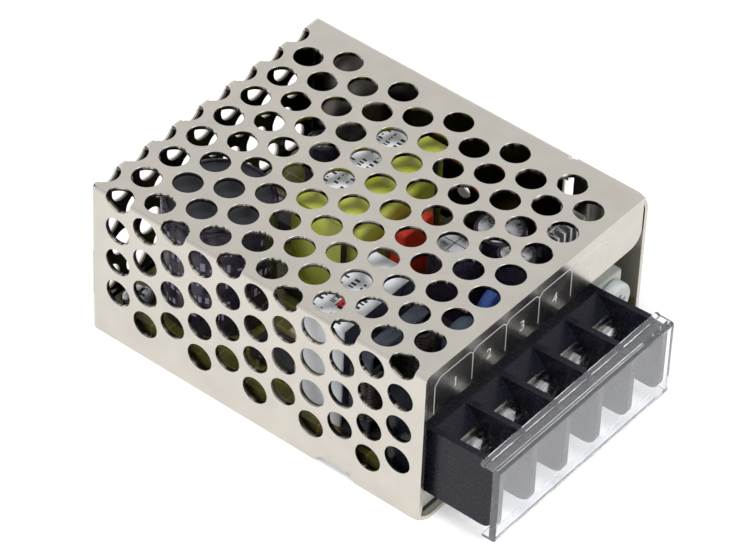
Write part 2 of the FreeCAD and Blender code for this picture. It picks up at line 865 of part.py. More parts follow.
os.makedirs("parts", exist_ok=True)
save("perforated_cover", perforated_cover())
save("chassis_tray", chassis_tray())
save("cover_screws", cover_screws())
save("insulation_sheet", insulation_sheet())
save("circuit_board", circuit_board())
save("board_screws", board_screws())
save("terminal_block", terminal_block())
save("terminal_tabs", terminal_tabs())
for way in range(way_count):
    save("clamp_plate_" + str(way + 1), clamp_plate(way))
    save("terminal_screw_" + str(way + 1), terminal_screw(way))
save("terminal_cover", terminal_cover())
save("trimmer_body", trimmer_body())
save("trimmer_knob", trimmer_knob())
save("main_capacitor", main_capacitor())
save("transformer_core", transformer_core())
save("transformer_winding", transformer_winding())
save("transformer_bobbin", transformer_bobbin())
save("x_capacitor", x_capacitor())
save("filter_choke_core", filter_choke_core())
save("filter_choke_winding", filter_choke_winding())
save("filter_choke_bobbin", filter_choke_bobbin())
save("inrush_thermistor", disc_on_legs(thermistor_centre, thermistor_radius, thermistor_thickness))
save("y_capacitor", disc_on_legs(y_capacitor_centre, y_capacitor_radius, y_capacitor_thickness))
save("output_capacitors", Part.makeCompound([upright_can(can) for can in output_cans]))
save("supply_capacitor", upright_can(supply_can))
save("input_fuse", low_box(fuse_box))
save("bridge_rectifier", low_box(bridge_box))
save("controller_chip", low_box(chip_box))
save("opto_coupler", low_box(opto_box))
save("snubber_capacitor", low_box(snubber_box))
save("diode_heatsink", diode_heatsink())
save("output_diode", output_diode())
save("output_choke_core", output_choke_core())
save("output_choke_winding", output_choke_winding())
save("small_resistors", small_resistors())
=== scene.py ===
import bmesh
import bpy
import json
import math
import random
from mathutils import Matrix, Vector

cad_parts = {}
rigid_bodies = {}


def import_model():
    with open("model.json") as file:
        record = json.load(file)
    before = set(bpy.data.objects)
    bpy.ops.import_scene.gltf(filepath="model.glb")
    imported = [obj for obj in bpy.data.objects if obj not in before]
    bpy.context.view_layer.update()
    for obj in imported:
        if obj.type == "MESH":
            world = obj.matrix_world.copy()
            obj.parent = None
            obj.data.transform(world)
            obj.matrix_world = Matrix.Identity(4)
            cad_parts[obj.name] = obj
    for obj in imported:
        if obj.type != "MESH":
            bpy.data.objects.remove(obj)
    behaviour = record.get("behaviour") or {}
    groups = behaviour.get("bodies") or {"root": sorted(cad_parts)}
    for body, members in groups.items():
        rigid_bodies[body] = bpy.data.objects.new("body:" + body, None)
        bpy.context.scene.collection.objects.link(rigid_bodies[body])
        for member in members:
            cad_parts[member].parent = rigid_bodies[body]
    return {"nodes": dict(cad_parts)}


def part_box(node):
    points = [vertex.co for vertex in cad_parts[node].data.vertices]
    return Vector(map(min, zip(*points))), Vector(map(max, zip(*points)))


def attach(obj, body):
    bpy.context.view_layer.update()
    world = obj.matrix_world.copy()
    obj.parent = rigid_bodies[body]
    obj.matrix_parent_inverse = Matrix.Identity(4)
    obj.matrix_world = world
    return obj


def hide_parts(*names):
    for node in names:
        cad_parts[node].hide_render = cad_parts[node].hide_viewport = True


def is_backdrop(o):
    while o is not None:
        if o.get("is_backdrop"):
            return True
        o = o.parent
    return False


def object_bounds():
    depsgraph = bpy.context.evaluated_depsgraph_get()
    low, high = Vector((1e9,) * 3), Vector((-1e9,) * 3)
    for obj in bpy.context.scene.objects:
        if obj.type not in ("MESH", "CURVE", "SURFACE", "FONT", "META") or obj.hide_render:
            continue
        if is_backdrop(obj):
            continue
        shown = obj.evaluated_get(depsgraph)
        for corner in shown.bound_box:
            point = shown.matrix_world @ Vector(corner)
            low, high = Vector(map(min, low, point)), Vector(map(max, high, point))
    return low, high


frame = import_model()
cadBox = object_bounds()
print("frame loaded")

# Places are in millimetres from the rear corner of the perforated side, as the case is drawn:
# x towards the terminals, y towards the plain side, z up from the underside of the floor
mm = 0.001
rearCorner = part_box("perforated_cover")[0]
caseFrame = Matrix.Translation(rearCorner) @ Matrix.Diagonal((mm, mm, mm, 1))
sceneObjects = bpy.context.scene.collection.objects


def addBlock(bm, low, high, paint=0):
    corners = [bm.verts.new((x, y, z)) for x in (low[0], high[0]) for y in (low[1], high[1])
               for z in (low[2], high[2])]
    sides = ((0, 1, 3, 2), (4, 6, 7, 5), (0, 4, 5, 1), (2, 3, 7, 6), (0, 2, 6, 4), (1, 5, 7, 3))
    faces = [bm.faces.new([corners[n] for n in side]) for side in sides]
    for face in faces:
        face.material_index = paint
    return faces


def softBlock(bm, low, high, edge, steps=2, paint=0):
    faces = addBlock(bm, low, high, paint)
    edges = list({side for face in faces for side in face.edges})
    bmesh.ops.bevel(bm, geom=edges, offset=edge, segments=steps, profile=0.5, affect="EDGES",
                    clamp_overlap=True)


# Walls between rings of as many corners each, closed at both ends
def addSkin(bm, rings, paint):
    for lower, upper in zip(rings, rings[1:]):
        for n in range(len(lower)):
            m = (n + 1) % len(lower)
            bm.faces.new((lower[n], lower[m], upper[m], upper[n])).material_index = paint
    bm.faces.new(rings[0][::-1]).material_index = paint
    bm.faces.new(rings[-1]).material_index = paint


# profile is a list of (radius, travel along the axis)
def addTurned(bm, profile, centre, axis="z", sides=32, paint=0):
    rings = []
    for radius, travel in profile:
        ring = []
        for n in range(sides):
            turn = math.tau * (n + 0.5) / sides
            a, b = radius * math.cos(turn), radius * math.sin(turn)
            offset = {"x": (travel, a, b), "y": (b, travel, a), "z": (a, b, travel)}[axis]
            ring.append(bm.verts.new([c + o for c, o in zip(centre, offset)]))
        rings.append(ring)
    addSkin(bm, rings, paint)


# outline holds (y, z) for axis x, (x, z) for axis y and (x, y) for axis z
def addPrism(bm, outline, axis, start, end):
    def corner(a, b, t):
        return {"x": (t, a, b), "y": (a, t, b), "z": (a, b, t)}[axis]
    near = [bm.verts.new(corner(a, b, start)) for a, b in outline]
    far = [bm.verts.new(corner(a, b, end)) for a, b in outline]
    bm.faces.new(near)
    bm.faces.new(far[::-1])
    for n in range(len(outline)):
        m = (n + 1) % len(outline)
        bm.faces.new((near[m], near[n], far[n], far[m]))


# A tube of round wire along points
def addWire(bm, points, radius, sides=8, paint=0):
    rings = []
    points = [Vector(point) for point in points]
    across = None
    for n, point in enumerate(points):
        ahead = (points[min(n + 1, len(points) - 1)] - points[max(n - 1, 0)]).normalized()
        if across is None:
            across = ahead.orthogonal().normalized()
        across = (across - ahead * across.dot(ahead)).normalized()
        up = ahead.cross(across)
        rings.append([bm.verts.new(point + radius * (math.cos(math.tau * k / sides) * across
                                                     + math.sin(math.tau * k / sides) * up))
                      for k in range(sides)])
    addSkin(bm, rings, paint)


def newPiece(name, bm):
    bmesh.ops.recalc_face_normals(bm, faces=bm.faces)
    bmesh.ops.transform(bm, matrix=caseFrame, verts=bm.verts)
    mesh = bpy.data.meshes.new(name)
    bm.to_mesh(mesh)
    bm.free()
    piece = bpy.data.objects.new(name, mesh)
    sceneObjects.link(piece)
    return piece


# Gives the piece the mesh that its modifiers make
def settle(piece):
    bpy.context.view_layer.update()
    made = piece.evaluated_get(bpy.context.evaluated_depsgraph_get())
    mesh = bpy.data.meshes.new_from_object(made)
    piece.modifiers.clear()
    piece.data = mesh


def combine(piece, bm, how="DIFFERENCE"):
    tool = newPiece("tool", bm)
    change = piece.modifiers.new("cut", "BOOLEAN")
    change.operation = how
    change.solver = "EXACT"
    change.object = tool
    settle(piece)
    bpy.data.objects.remove(tool)


def breakEdges(piece, width, steps=2, angle=40):
    change = piece.modifiers.new("edges", "BEVEL")
    change.width = width * mm
    change.segments = steps
    change.limit_method = "ANGLE"
    change.angle_limit = math.radians(angle)
    change.use_clamp_overlap = True
    settle(piece)


def dress(piece, finishes, body, nodes=(), crease=35, weighted=False):
    paints = [0] * len(piece.data.polygons)
    piece.data.polygons.foreach_get("material_index", paints)
    piece.data.materials.clear()
    for finish in finishes:
        piece.data.materials.append(finish)
    piece.data.polygons.foreach_set("material_index", [min(paint, len(finishes) - 1) for paint in paints])
    piece.data.polygons.foreach_set("use_smooth", [True] * len(piece.data.polygons))
    piece.data.set_sharp_from_angle(angle=math.radians(crease))
    if weighted:
        change = piece.modifiers.new("normals", "WEIGHTED_NORMAL")
        change.keep_sharp = True
        change.weight = 80
        settle(piece)
    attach(piece, body)
    if nodes:
        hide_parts(*nodes)
    return piece


# A shader node with its settings; an input takes a value, or the socket that feeds it
def addNode(tree, kind, inputs=(), **settings):
    node = tree.nodes.new("ShaderNode" + kind)
    for name, value in settings.items():
        setattr(node, name, value)
    for name, value in dict(inputs).items():
        if isinstance(value, bpy.types.NodeSocket):
            tree.links.new(value, node.inputs[name])
        else:
            node.inputs[name].default_value = value
    return node


def setRamp(node, positions, shades):
    for stop, position, shade in zip(node.color_ramp.elements, positions, shades):
        stop.position = position
        stop.color = (*shade, 1)


# A shader whose colour, roughness and fine relief vary with a noise in the piece's own coordinates
def newFinish(name, dark, light, grain, rough=(0.3, 0.4), relief=0.0, stretch=(1, 1, 1), **sockets):
    finish = bpy.data.materials.new(name)
    finish.use_nodes = True
    tree = finish.node_tree
    shader = tree.nodes["Principled BSDF"]
    for socket, value in sockets.items():
        shader.inputs[socket.replace("_", " ")].default_value = value
    place = addNode(tree, "TexCoord").outputs["Object"]
    scaled = addNode(tree, "Mapping", {"Vector": place, "Scale": stretch}).outputs["Vector"]
    noise = addNode(tree, "TexNoise", {"Vector": scaled, "Scale": grain, "Detail": 3.0}).outputs["Fac"]
    colour = addNode(tree, "ValToRGB", {"Fac": noise})
    setRamp(colour, (0.35, 0.65), (dark, light))
    tree.links.new(colour.outputs["Color"], shader.inputs["Base Color"])
    gloss = addNode(tree, "MapRange", {"Value": noise, "From Min": 0.3, "From Max": 0.7, "To Min": rough[0],
                                       "To Max": rough[1]})
    tree.links.new(gloss.outputs["Result"], shader.inputs["Roughness"])
    if relief:
        bump = addNode(tree, "Bump", {"Height": noise, "Strength": 0.5, "Distance": relief * mm})
        tree.links.new(bump.outputs["Normal"], shader.inputs["Normal"])
    return finish


platedSheet = newFinish("platedSheet", (0.547, 0.516, 0.465), (0.585, 0.553, 0.498), 260, (0.17, 0.24), 0.004,
                        Metallic=1.0)
etchedLine = newFinish("etchedLine", (0.80, 0.77, 0.72), (0.9, 0.88, 0.84), 900, (0.5, 0.6), Metallic=0.6)
platedScrew = newFinish("platedScrew", (0.22, 0.22, 0.232), (0.58, 0.58, 0.59), 1500, (0.14, 0.34), 0.01,
                        (1, 0.12, 1), Metallic=1.0)
tinnedBrass = newFinish("tinnedBrass", (0.62, 0.60, 0.55), (0.78, 0.76, 0.70), 900, (0.22, 0.36), 0.005,
                        Metallic=1.0)
blackMoulding = newFinish("blackMoulding", (0.008, 0.008, 0.014), (0.012, 0.012, 0.020), 2200, (0.22, 0.3),
                          0.0008, Specular_IOR_Level=0.18)
whiteFilm = newFinish("whiteFilm", (0.74, 0.74, 0.70), (0.84, 0.84, 0.80), 500, (0.4, 0.5), 0.004)
palePlastic = newFinish("palePlastic", (0.62, 0.63, 0.60), (0.70, 0.71, 0.68), 1200, (0.35, 0.45), 0.004)
whiteKnob = newFinish("whiteKnob", (0.58, 0.61, 0.60), (0.68, 0.71, 0.70), 900, (0.3, 0.42), 0.006)
darkSleeve = newFinish("darkSleeve", (0.022, 0.016, 0.032), (0.034, 0.026, 0.048), 700, (0.22, 0.34), 0.004)
# Dark slate for the aluminium top of the main capacitor: a painted reflection of the dark underside of the
# cover
paintedReflectionDisc = newFinish("paintedReflectionDisc", (0.026, 0.028, 0.036), (0.036, 0.038, 0.047), 1600, (0.45, 0.55), 0.006)
ferrite = newFinish("ferrite", (0.020, 0.021, 0.024), (0.045, 0.046, 0.05), 1400, (0.55, 0.75), 0.02)
# Slate tape colour of the line choke core, also used as painted shade on the grey capacitor's front face
slateTapeAndShade = newFinish("slateTapeAndShade", (0.045, 0.052, 0.078), (0.068, 0.077, 0.108), 500, (0.25, 0.4), 0.01)
yellowTape = newFinish("yellowTape", (0.43, 0.46, 0.035), (0.63, 0.67, 0.13), 160, (0.2, 0.42), 0.05)
paperLabel = newFinish("paperLabel", (0.92, 0.94, 0.97), (0.96, 0.97, 0.99), 500, (0.45, 0.6), 0.01)
blackInk = newFinish("blackInk", (0.012, 0.012, 0.014), (0.03, 0.03, 0.034), 1500, (0.4, 0.5))
redInk = newFinish("redInk", (0.5, 0.02, 0.03), (0.66, 0.05, 0.06), 1500, (0.4, 0.5))
paleInk = newFinish("paleInk", (0.30, 0.27, 0.40), (0.42, 0.39, 0.52), 1500, (0.4, 0.5))
greyBox = newFinish("greyBox", (0.88, 0.91, 0.95), (0.93, 0.95, 0.98), 600, (0.4, 0.5), 0.008)
copperWire = newFinish("copperWire", (0.46, 0.17, 0.06), (0.62, 0.27, 0.10), 800, (0.2, 0.32), Metallic=0.85)
darkWire = newFinish("darkWire", (0.030, 0.022, 0.022), (0.055, 0.036, 0.03), 800, (0.2, 0.32))
tealDisc = newFinish("tealDisc", (0.05, 0.075, 0.11), (0.075, 0.11, 0.15), 700, (0.25, 0.4), 0.01)
blueDisc = newFinish("blueDisc", (0.03, 0.075, 0.30), (0.05, 0.11, 0.42), 700, (0.18, 0.3), 0.01)
darkBox = newFinish("darkBox", (0.016, 0.016, 0.018), (0.03, 0.03, 0.034), 1500, (0.35, 0.5), 0.01)
redBox = newFinish("redBox", (0.58, 0.035, 0.015), (0.72, 0.06, 0.025), 900, (0.3, 0.42), 0.01)
bareAluminium = newFinish("bareAluminium", (0.62, 0.63, 0.64), (0.80, 0.81, 0.82), 700, (0.25, 0.4), 0.01,
                          (1, 1, 0.15), Metallic=1.0)
canTop = newFinish("canTop", (0.50, 0.51, 0.55), (0.78, 0.79, 0.82), 900, (0.18, 0.36), 0.015, Metallic=1.0)
resistorBody = newFinish("resistorBody", (0.50, 0.40, 0.26), (0.60, 0.50, 0.33), 900, (0.3, 0.4), 0.004)

clearFlap = newFinish("clearFlap", (0.92, 0.935, 0.965), (0.94, 0.95, 0.975), 200, (0.01, 0.03),
                      Transmission_Weight=0.97, IOR=1.49, Specular_IOR_Level=0.15)


# Laps of the tape show as soft steps across it
def addLaps(finish, count, along, depth):
    tree = finish.node_tree
    place = addNode(tree, "TexCoord").outputs["Object"]
    wave = addNode(tree, "TexWave", {"Vector": place, "Scale": count, "Distortion": 2.5, "Detail": 2.0},
                   bands_direction=along)
    bump = addNode(tree, "Bump", {"Height": wave.outputs["Fac"], "Strength": 0.6, "Distance": depth * mm})
    tree.links.new(bump.outputs["Normal"], tree.nodes["Principled BSDF"].inputs["Normal"])


# Lays a second colour over a finish where the mask is 1
def paintOver(finish, mask, colour):
    tree = finish.node_tree
    shader = tree.nodes["Principled BSDF"]
    base = shader.inputs["Base Color"].links[0].from_socket
    mixed = addNode(tree, "Mix", {"Factor": mask, "A": base, "B": (*colour, 1)}, data_type="RGBA")
    tree.links.new(mixed.outputs["Result"], shader.inputs["Base Color"])


addLaps(yellowTape, 60, "X", 0.10)

# Painted shade for the inside of the case: there the plated sheet is coloured dark, as the shadow inside it
# would make it
paintedInsideShade = {"low": (0.35, 0.35, 0.35), "high": (62.0, 50.45, 27.65), "colour": (0.10, 0.09, 0.08)}


# Between two corners of the case the finish takes a painted shade: the inner faces of the sheet and the hole
# walls, shadowed inside the case, are coloured dark
def shadeInside(finish, low, high, colour):
    tree = finish.node_tree
    low, high = (caseFrame @ Vector(corner) for corner in (low, high))
    place = addNode(tree, "TexCoord").outputs["Object"]
    offset = addNode(tree, "VectorMath", {0: place, 1: (low + high) / 2}, operation="SUBTRACT")
    reach = addNode(tree, "VectorMath", {0: offset.outputs[0]}, operation="ABSOLUTE")
    split = addNode(tree, "SeparateXYZ", {0: reach.outputs[0]})
    tests = [addNode(tree, "Math", {0: split.outputs[axis], 1: (high[axis] - low[axis]) / 2},
                     operation="LESS_THAN").outputs[0] for axis in range(3)]
    within = tests[0]
    for test in tests[1:]:
        within = addNode(tree, "Math", {0: within, 1: test}, operation="MULTIPLY").outputs[0]
    paintOver(finish, within, colour)


shadeInside(platedSheet, paintedInsideShade["low"], paintedInsideShade["high"], paintedInsideShade["colour"])


# Olive lacquer with copper runs that show through it
def boardFinish():
    finish = newFinish("oliveBoard", (0.085, 0.082, 0.018), (0.125, 0.12, 0.03), 420, (0.25, 0.38), 0.01)
    black, white = (0, 0, 0, 1), (1, 1, 1, 1)
    tree = finish.node_tree
    place = addNode(tree, "TexCoord").outputs["Object"]
    runs = addNode(tree, "TexBrick", {"Vector": place, "Scale": 110, "Mortar Size": 0.012, "Color1": black,
                                      "Color2": black, "Mortar": white})
    paintOver(finish, runs.outputs["Color"], (0.23, 0.21, 0.06))
    return finish


oliveBoard = boardFinish()


def paintNode(name, finish):
    node = frame["nodes"][name]
    for holder in node.material_slots:
        holder.material = finish


paintNode("chassis_tray", platedSheet)
paintNode("insulation_sheet", whiteFilm)
paintNode("circuit_board", oliveBoard)
paintNode("terminal_tabs", tinnedBrass)
print("finishes made")


coverSizes = {"length": 62.4, "width": 51.5, "height": 28.0, "sheet": 0.7, "bend": 1.2, "bendSteps": 7,
              "flangeLength": 48.5, "flangeDepth": 5.0, "frontSetback": 0.84, "reliefWidth": 0.8,
              "reliefDepth": 0.6, "lipLeft": 0.9, "lipRight": 50.4, "lipBottom": 19.6, "lipCorner": 2.5}
footCut = {"start": 42.8, "end": 50.2, "rise": 1.3, "ramp": 1.5}
sideSeam = {"offset": 0.25, "width": 0.35, "low": 6.5, "high": 15.0}
holeSizes = {"radius": 2.28, "sides": 44, "pitch": 6.07, "firstColumn": 5.4, "topFoldRow": 0.36,
             "sideFoldRow": 27.73, "rearFoldRow": 27.85, "rearFirstRow": 23.3, "edgeMargin": 1.5,
             "footMargin": 3.0, "rim": 0.06}
columnStep = holeSizes["pitch"] * math.cos(math.radians(30))


def holeColumns(first):
    h = holeSizes
    reach = coverSizes["length"] - h["edgeMargin"] - h["radius"] - h["firstColumn"]
    return [(column % 2, h["firstColumn"] + column * columnStep)
            for column in range(first, int(reach / columnStep) + 1)]


# Places across the case, from start on to the plain edge
def acrossFrom(start):
    h = holeSizes
    places = []
    while start + h["radius"] + h["edgeMargin"] <= coverSizes["width"]:
        places.append(start)
        start += h["pitch"]
    return places


# Places down a wall, from start on to the foot
def downFrom(start, step):
    places = []
    while start - holeSizes["radius"] >= holeSizes["footMargin"]:
        places.append(start)
        start -= step
    return places


def topHoles():
    h = holeSizes
    return [(x, y) for odd, x in holeColumns(-1) for y in acrossFrom(h["topFoldRow"] + odd * h["pitch"] / 2)]


def sideHoles():
    h = holeSizes
    return [(x, z) for odd, x in holeColumns(0)
            for z in downFrom(h["sideFoldRow"] - odd * h["pitch"] / 2, h["pitch"])]


def rearHoles():
    h = holeSizes
    rows = [h["rearFoldRow"]] + downFrom(h["rearFirstRow"], columnStep)
    return [(y, z) for row, z in enumerate(rows)
            for y in acrossFrom(h["topFoldRow"] + h["pitch"] * (1.0 if row % 2 else 0.5))]


# A punch for one face; its rim opens a little at the outer face
def punches(centres, axis, inner, outer, beyond):
    bm = bmesh.new()
    radius, rim = holeSizes["radius"], holeSizes["rim"]
    way = 1 if beyond > outer else -1
    profile = [(radius, inner), (radius, outer - way * rim), (radius + 1.5 * rim, outer + way * rim / 2),
               (radius + 1.5 * rim, beyond)]
    for a, b in centres:
        centre = {"x": (0, a, b), "y": (a, 0, b), "z": (a, b, 0)}[axis]
        addTurned(bm, profile, centre, axis, holeSizes["sides"])
    return bm


# A box whose upper edges and one upright edge are bent
def foldedBox(low, high, radius, steps):
    bm = bmesh.new()
    addBlock(bm, low, high)
    folds = ({1: low[1], 2: high[2]}, {0: low[0], 2: high[2]}, {0: high[0], 2: high[2]},
             {1: high[1], 2: high[2]}, {0: low[0], 1: low[1]})
    edges = [edge for edge in bm.edges
             if any(all(abs(corner.co[axis] - value) < 1e-6 for corner in edge.verts
                        for axis, value in fold.items()) for fold in folds)]
    bmesh.ops.bevel(bm, geom=edges, offset=radius, segments=steps, profile=0.5, affect="EDGES",
                    clamp_overlap=False)
    return bm


def block(low, high):
    bm = bmesh.new()
    addBlock(bm, low, high)
    return bm


def roundBlock(low, high, edge, steps=2):
    bm = bmesh.new()
    softBlock(bm, low, high, edge, steps)
    return bm


def prism(outline, axis, start, end):
    bm = bmesh.new()
    addPrism(bm, outline, axis, start, end)
    return bm


def buildCover():
    c = coverSizes
    t, bend, reach = c["sheet"], c["bend"], c["flangeLength"]
    length, width, height = c["length"], c["width"], c["height"]
    cover = newPiece("coverSheet", foldedBox((0, 0, 0), (length, width, height), bend, c["bendSteps"]))
    combine(cover, foldedBox((t, t, -t), (length - t, width - t, height - t), bend - t, c["bendSteps"]))
    far, wide, fold = length + 1, width + 1, height - bend
    front = width - c["frontSetback"]
    combine(cover, block((-1, width - t, -1), (far, wide, height - c["flangeDepth"])))
    combine(cover, block((-1.1, width - t - 0.01, -1.1), (bend, wide + 0.1, fold)))
    combine(cover, block((reach, front, -1.2), (far + 0.1, wide + 0.2, height + 1)))
    combine(cover, block((reach - 0.01, front - c["reliefDepth"], fold),
                         (reach + c["reliefWidth"], wide + 0.3, height + 1.1)))
    right, low, curve = c["lipRight"], c["lipBottom"], c["lipCorner"]
    corner = [(right - curve * (1 - math.cos(a)), low + curve * (1 - math.sin(a)))
              for a in (math.pi / 2 * n / 8 for n in range(9))]
    edge = [(t, -1), (wide, -1), (wide, fold), (right, fold)] + corner
    edge += [(c["lipLeft"], low), (c["lipLeft"], fold), (t, fold)]
    combine(cover, prism(edge, "x", length - t - 0.05, far))
    f = footCut
    foot = [(f["start"], -1), (f["start"], 0), (f["start"] + f["ramp"], f["rise"]),
            (f["end"] - t, f["rise"]), (f["end"], t), (far, t), (far, -1)]
    combine(cover, prism(foot, "y", -1, 2 * t))
    s = sideSeam
    combine(cover, block((s["offset"], -1, s["low"]), (s["offset"] + s["width"], t, s["high"])))
    sinks = bmesh.new()
    for x in coverScrews["places"]:
        addTurned(sinks, coverScrews["sink"], (x, 0, coverScrews["height"]), "y", 32)
    combine(cover, sinks)
    deep = bend + 0.05
    combine(cover, punches(topHoles(), "z", height - deep, height, height + 1.2))
    combine(cover, punches(sideHoles(), "y", deep, 0, -1.2))
    combine(cover, punches(rearHoles(), "x", deep, 0, -1.2))
    dress(cover, [platedSheet], "case", ["perforated_cover"], 32, True)


coverScrews = {"places": (12.0, 37.5), "height": 25.0, "head": 1.85, "shank": 0.9, "length": 3.0,
               "face": 51.45, "crossLength": 2.3, "crossWidth": 0.45, "crossDepth": 0.45,
               "sink": ((1.3, 49.5), (1.3, 50.8), (1.92, 51.52), (1.92, 52.2))}


# One blade of a cross recess, from beyond the face down to its depth, where taper narrows it
def addBlade(bm, centre, axis, halves, depth, taper):
    face = centre[axis]
    others = [other for other in range(3) if other != axis]
    low, high = list(centre), list(centre)
    low[axis], high[axis] = face - depth, face + 1
    for other, half in zip(others, halves):
        low[other] -= half
        high[other] += half
    corners = {corner for side in addBlock(bm, low, high) for corner in side.verts}
    for corner in corners:
        if corner.co[axis] < face:
            for other in others:
                corner.co[other] = centre[other] + (corner.co[other] - centre[other]) * taper


# A cross recess in each face that looks along +axis: its two blades are cut one after the other
def recess(piece, centres, axis, length, width, depth, taper=0.72):
    for halves in ((length / 2, width / 2), (width / 2, length / 2)):
        bm = bmesh.new()
        for centre in centres:
            addBlade(bm, centre, "xyz".index(axis), halves, depth, taper)
        combine(piece, bm)


def buildCoverScrews():
    bm = bmesh.new()
    s = coverScrews
    centres = []
    for x in s["places"]:
        turned = [(s["shank"], -s["length"])]
        travel = -s["length"] + 0.2
        while travel < -1.0:
            turned += [(s["shank"], travel), (s["shank"] - 0.14, travel + 0.15)]
            travel += 0.3
        turned += [(1.25, -0.62), (s["head"], -0.06), (s["head"] - 0.06, 0.0)]
        addTurned(bm, turned, (x, s["face"], s["height"]), "y", 36)
        centres.append((x, s["face"], s["height"]))
    piece = newPiece("coverScrews", bm)
    recess(piece, centres, "y", s["crossLength"], s["crossWidth"], s["crossDepth"])
    dress(piece, [platedScrew], "case", ["cover_screws"])


buildCover()
buildCoverScrews()
print("cover punched and folded")


lipMarks = {"face": 62.4, "proud": 0.012, "line": 0.14, "left": 2.1, "top": 26.15, "chamfer": 1.1,
            "bottom": 19.9, "right": 41.6, "dividers": (10.6, 18.2, 25.8, 33.4), "dividerLow": 20.6,
            "peak": 0.7, "numbers": (6.8, 14.4, 22.0, 29.6, 37.2), "numberHeight": 21.9, "numberSize": 2.6}


def strokes(bm, points, width, face, proud):
    for (y0, z0), (y1, z1) in zip(points, points[1:]):
        way = Vector((y1 - y0, z1 - z0)).normalized() * width / 2
        side = Vector((-way.y, way.x))
        corners = [(y0 - way.x - side.x, z0 - way.y - side.y), (y1 + way.x - side.x, z1 + way.y - side.y),
                   (y1 + way.x + side.x, z1 + way.y + side.y), (y0 - way.x + side.x, z0 - way.y + side.y)]
        addPrism(bm, corners, "x", face - 0.02, face + proud)


def buildLipMarks():
    k = lipMarks
    bm = bmesh.new()
    border = [(k["left"], k["bottom"]), (k["left"], k["top"] - k["chamfer"])]
    border += [(k["left"] + k["chamfer"], k["top"])]
    for y in k["dividers"]:
        border += [(y - k["peak"], k["top"]), (y, k["top"] - k["peak"]), (y + k["peak"], k["top"])]
    border += [(k["right"] - k["chamfer"], k["top"]), (k["right"], k["top"] - k["chamfer"])]
    border += [(k["right"], k["bottom"])]
    strokes(bm, border, k["line"], k["face"], k["proud"])
    for y in k["dividers"]:
        strokes(bm, [(y, k["dividerLow"]), (y, k["top"] - k["peak"])], k["line"], k["face"], k["proud"])
    dress(newPiece("lipLines", bm), [etchedLine], "case")


def buildNumber(number, y):
    letter = bpy.data.curves.new("number", "FONT")
    letter.body = str(number)
    letter.size = lipMarks["numberSize"]
    letter.align_x = "CENTER"
    letter.extrude = 0.01
    holder = bpy.data.objects.new("number", letter)
    sceneObjects.link(holder)
    bpy.context.view_layer.update()
    mesh = bpy.data.meshes.new_from_object(holder.evaluated_get(bpy.context.evaluated_depsgraph_get()))
    bpy.data.objects.remove(holder)
    bm = bmesh.new()
    bm.from_mesh(mesh)
    # The number is drawn flat, and stands up on the lip facing forward
    stand = Matrix(((0, 0, 1, lipMarks["face"] + 0.002), (1, 0, 0, y), (0, 1, 0, lipMarks["numberHeight"]),
                    (0, 0, 0, 1)))
    bmesh.ops.transform(bm, matrix=stand, verts=bm.verts)
    dress(newPiece("lipNumber" + str(number), bm), [etchedLine], "case")


buildLipMarks()
for number, y in enumerate(lipMarks["numbers"]):
    buildNumber(number + 1, y)
print("lip marked")


blockSizes = {"ways": 5, "pitch": 7.62, "wall": 1.1, "left": 2.0, "rear": 54.0, "seat": 61.2, "bottom": 4.3,
              "boardTop": 4.6, "front": 73.7, "spineFront": 65.2, "slope": 2.9, "topRear": 16.6,
              "topFront": 17.1, "step": 71.7, "stepHeight": 16.25, "corner": 2.0, "edge": 0.14,
              "pocketRear": 64.35, "pocketFront": 66.0, "pocketHalf": 2.95, "pocketLow": 8.45,
              "pocketHigh": 14.05, "well": ((1.7, 60.75), (1.7, 64.6))}
terminalScrew = {"height": 12.3, "head": 2.4, "thick": 1.8, "rear": 66.35, "shank": 1.38, "length": 5.0,
                 "thread": 0.5, "crossLength": 2.9, "crossWidth": 0.55, "crossDepth": 0.75,
                 "crossTaper": 1.0, "slot": 4.6, "slotHalf": 0.3, "slotDepth": 0.42}
clampPlate = {"rear": 65.25, "front": 66.35, "half": 2.95, "low": 9.3, "high": 14.0, "corner": 0.5,
              "hole": ((1.7, 64.0), (1.7, 67.0)), "grooves": 3, "grooveFirst": 0.45, "grooveStep": 0.5}


def wayCentre(way):
    return blockSizes["left"] + blockSizes["wall"] / 2 + (way + 0.5) * blockSizes["pitch"]


def roundedCorner(x, z, radius, start, steps=8):
    turns = [start + math.pi / 2 * n / steps for n in range(steps + 1)]
    return [(x + radius * math.cos(a), z + radius * math.sin(a)) for a in turns]


def buildBlock():
    b = blockSizes
    slopeTop = b["spineFront"] - b["slope"]
    slopeLow = b["topRear"] - b["slope"]
    seat = [(b["rear"], b["topRear"]), (b["rear"], b["boardTop"]), (b["seat"], b["boardTop"]),
            (b["seat"], b["bottom"])]
    width = b["ways"] * b["pitch"] + b["wall"]
    spine = seat + [(b["spineFront"], b["bottom"]), (b["spineFront"], slopeLow), (slopeTop, b["topRear"])]
    piece = newPiece("terminalBlock", prism(spine, "y", b["left"], b["left"] + width))
    foot = roundedCorner(b["front"] - b["corner"], b["bottom"] + b["corner"], b["corner"], -math.pi / 2)
    side = seat + foot + [(b["front"], b["stepHeight"]), (b["step"], b["stepHeight"]),
                          (b["step"], b["topFront"]), (slopeTop, b["topRear"])]
    walls = bmesh.new()
    for n in range(b["ways"] + 1):
        y = b["left"] + n * b["pitch"]
        addPrism(walls, side, "y", y, y + b["wall"])
    combine(piece, walls, "UNION")
    tools = bmesh.new()
    for way in range(b["ways"]):
        y = wayCentre(way)
        addBlock(tools, (b["pocketRear"], y - b["pocketHalf"], b["pocketLow"]),
                 (b["pocketFront"], y + b["pocketHalf"], b["pocketHigh"]))
    combine(piece, tools)
    wells = bmesh.new()
    for way in range(b["ways"]):
        addTurned(wells, b["well"], (0, wayCentre(way), terminalScrew["height"]), "x", 24)
    combine(piece, wells)
    breakEdges(piece, b["edge"], 2, 38)
    dress(piece, [blackMoulding], "case", ["terminal_block"], 38, True)


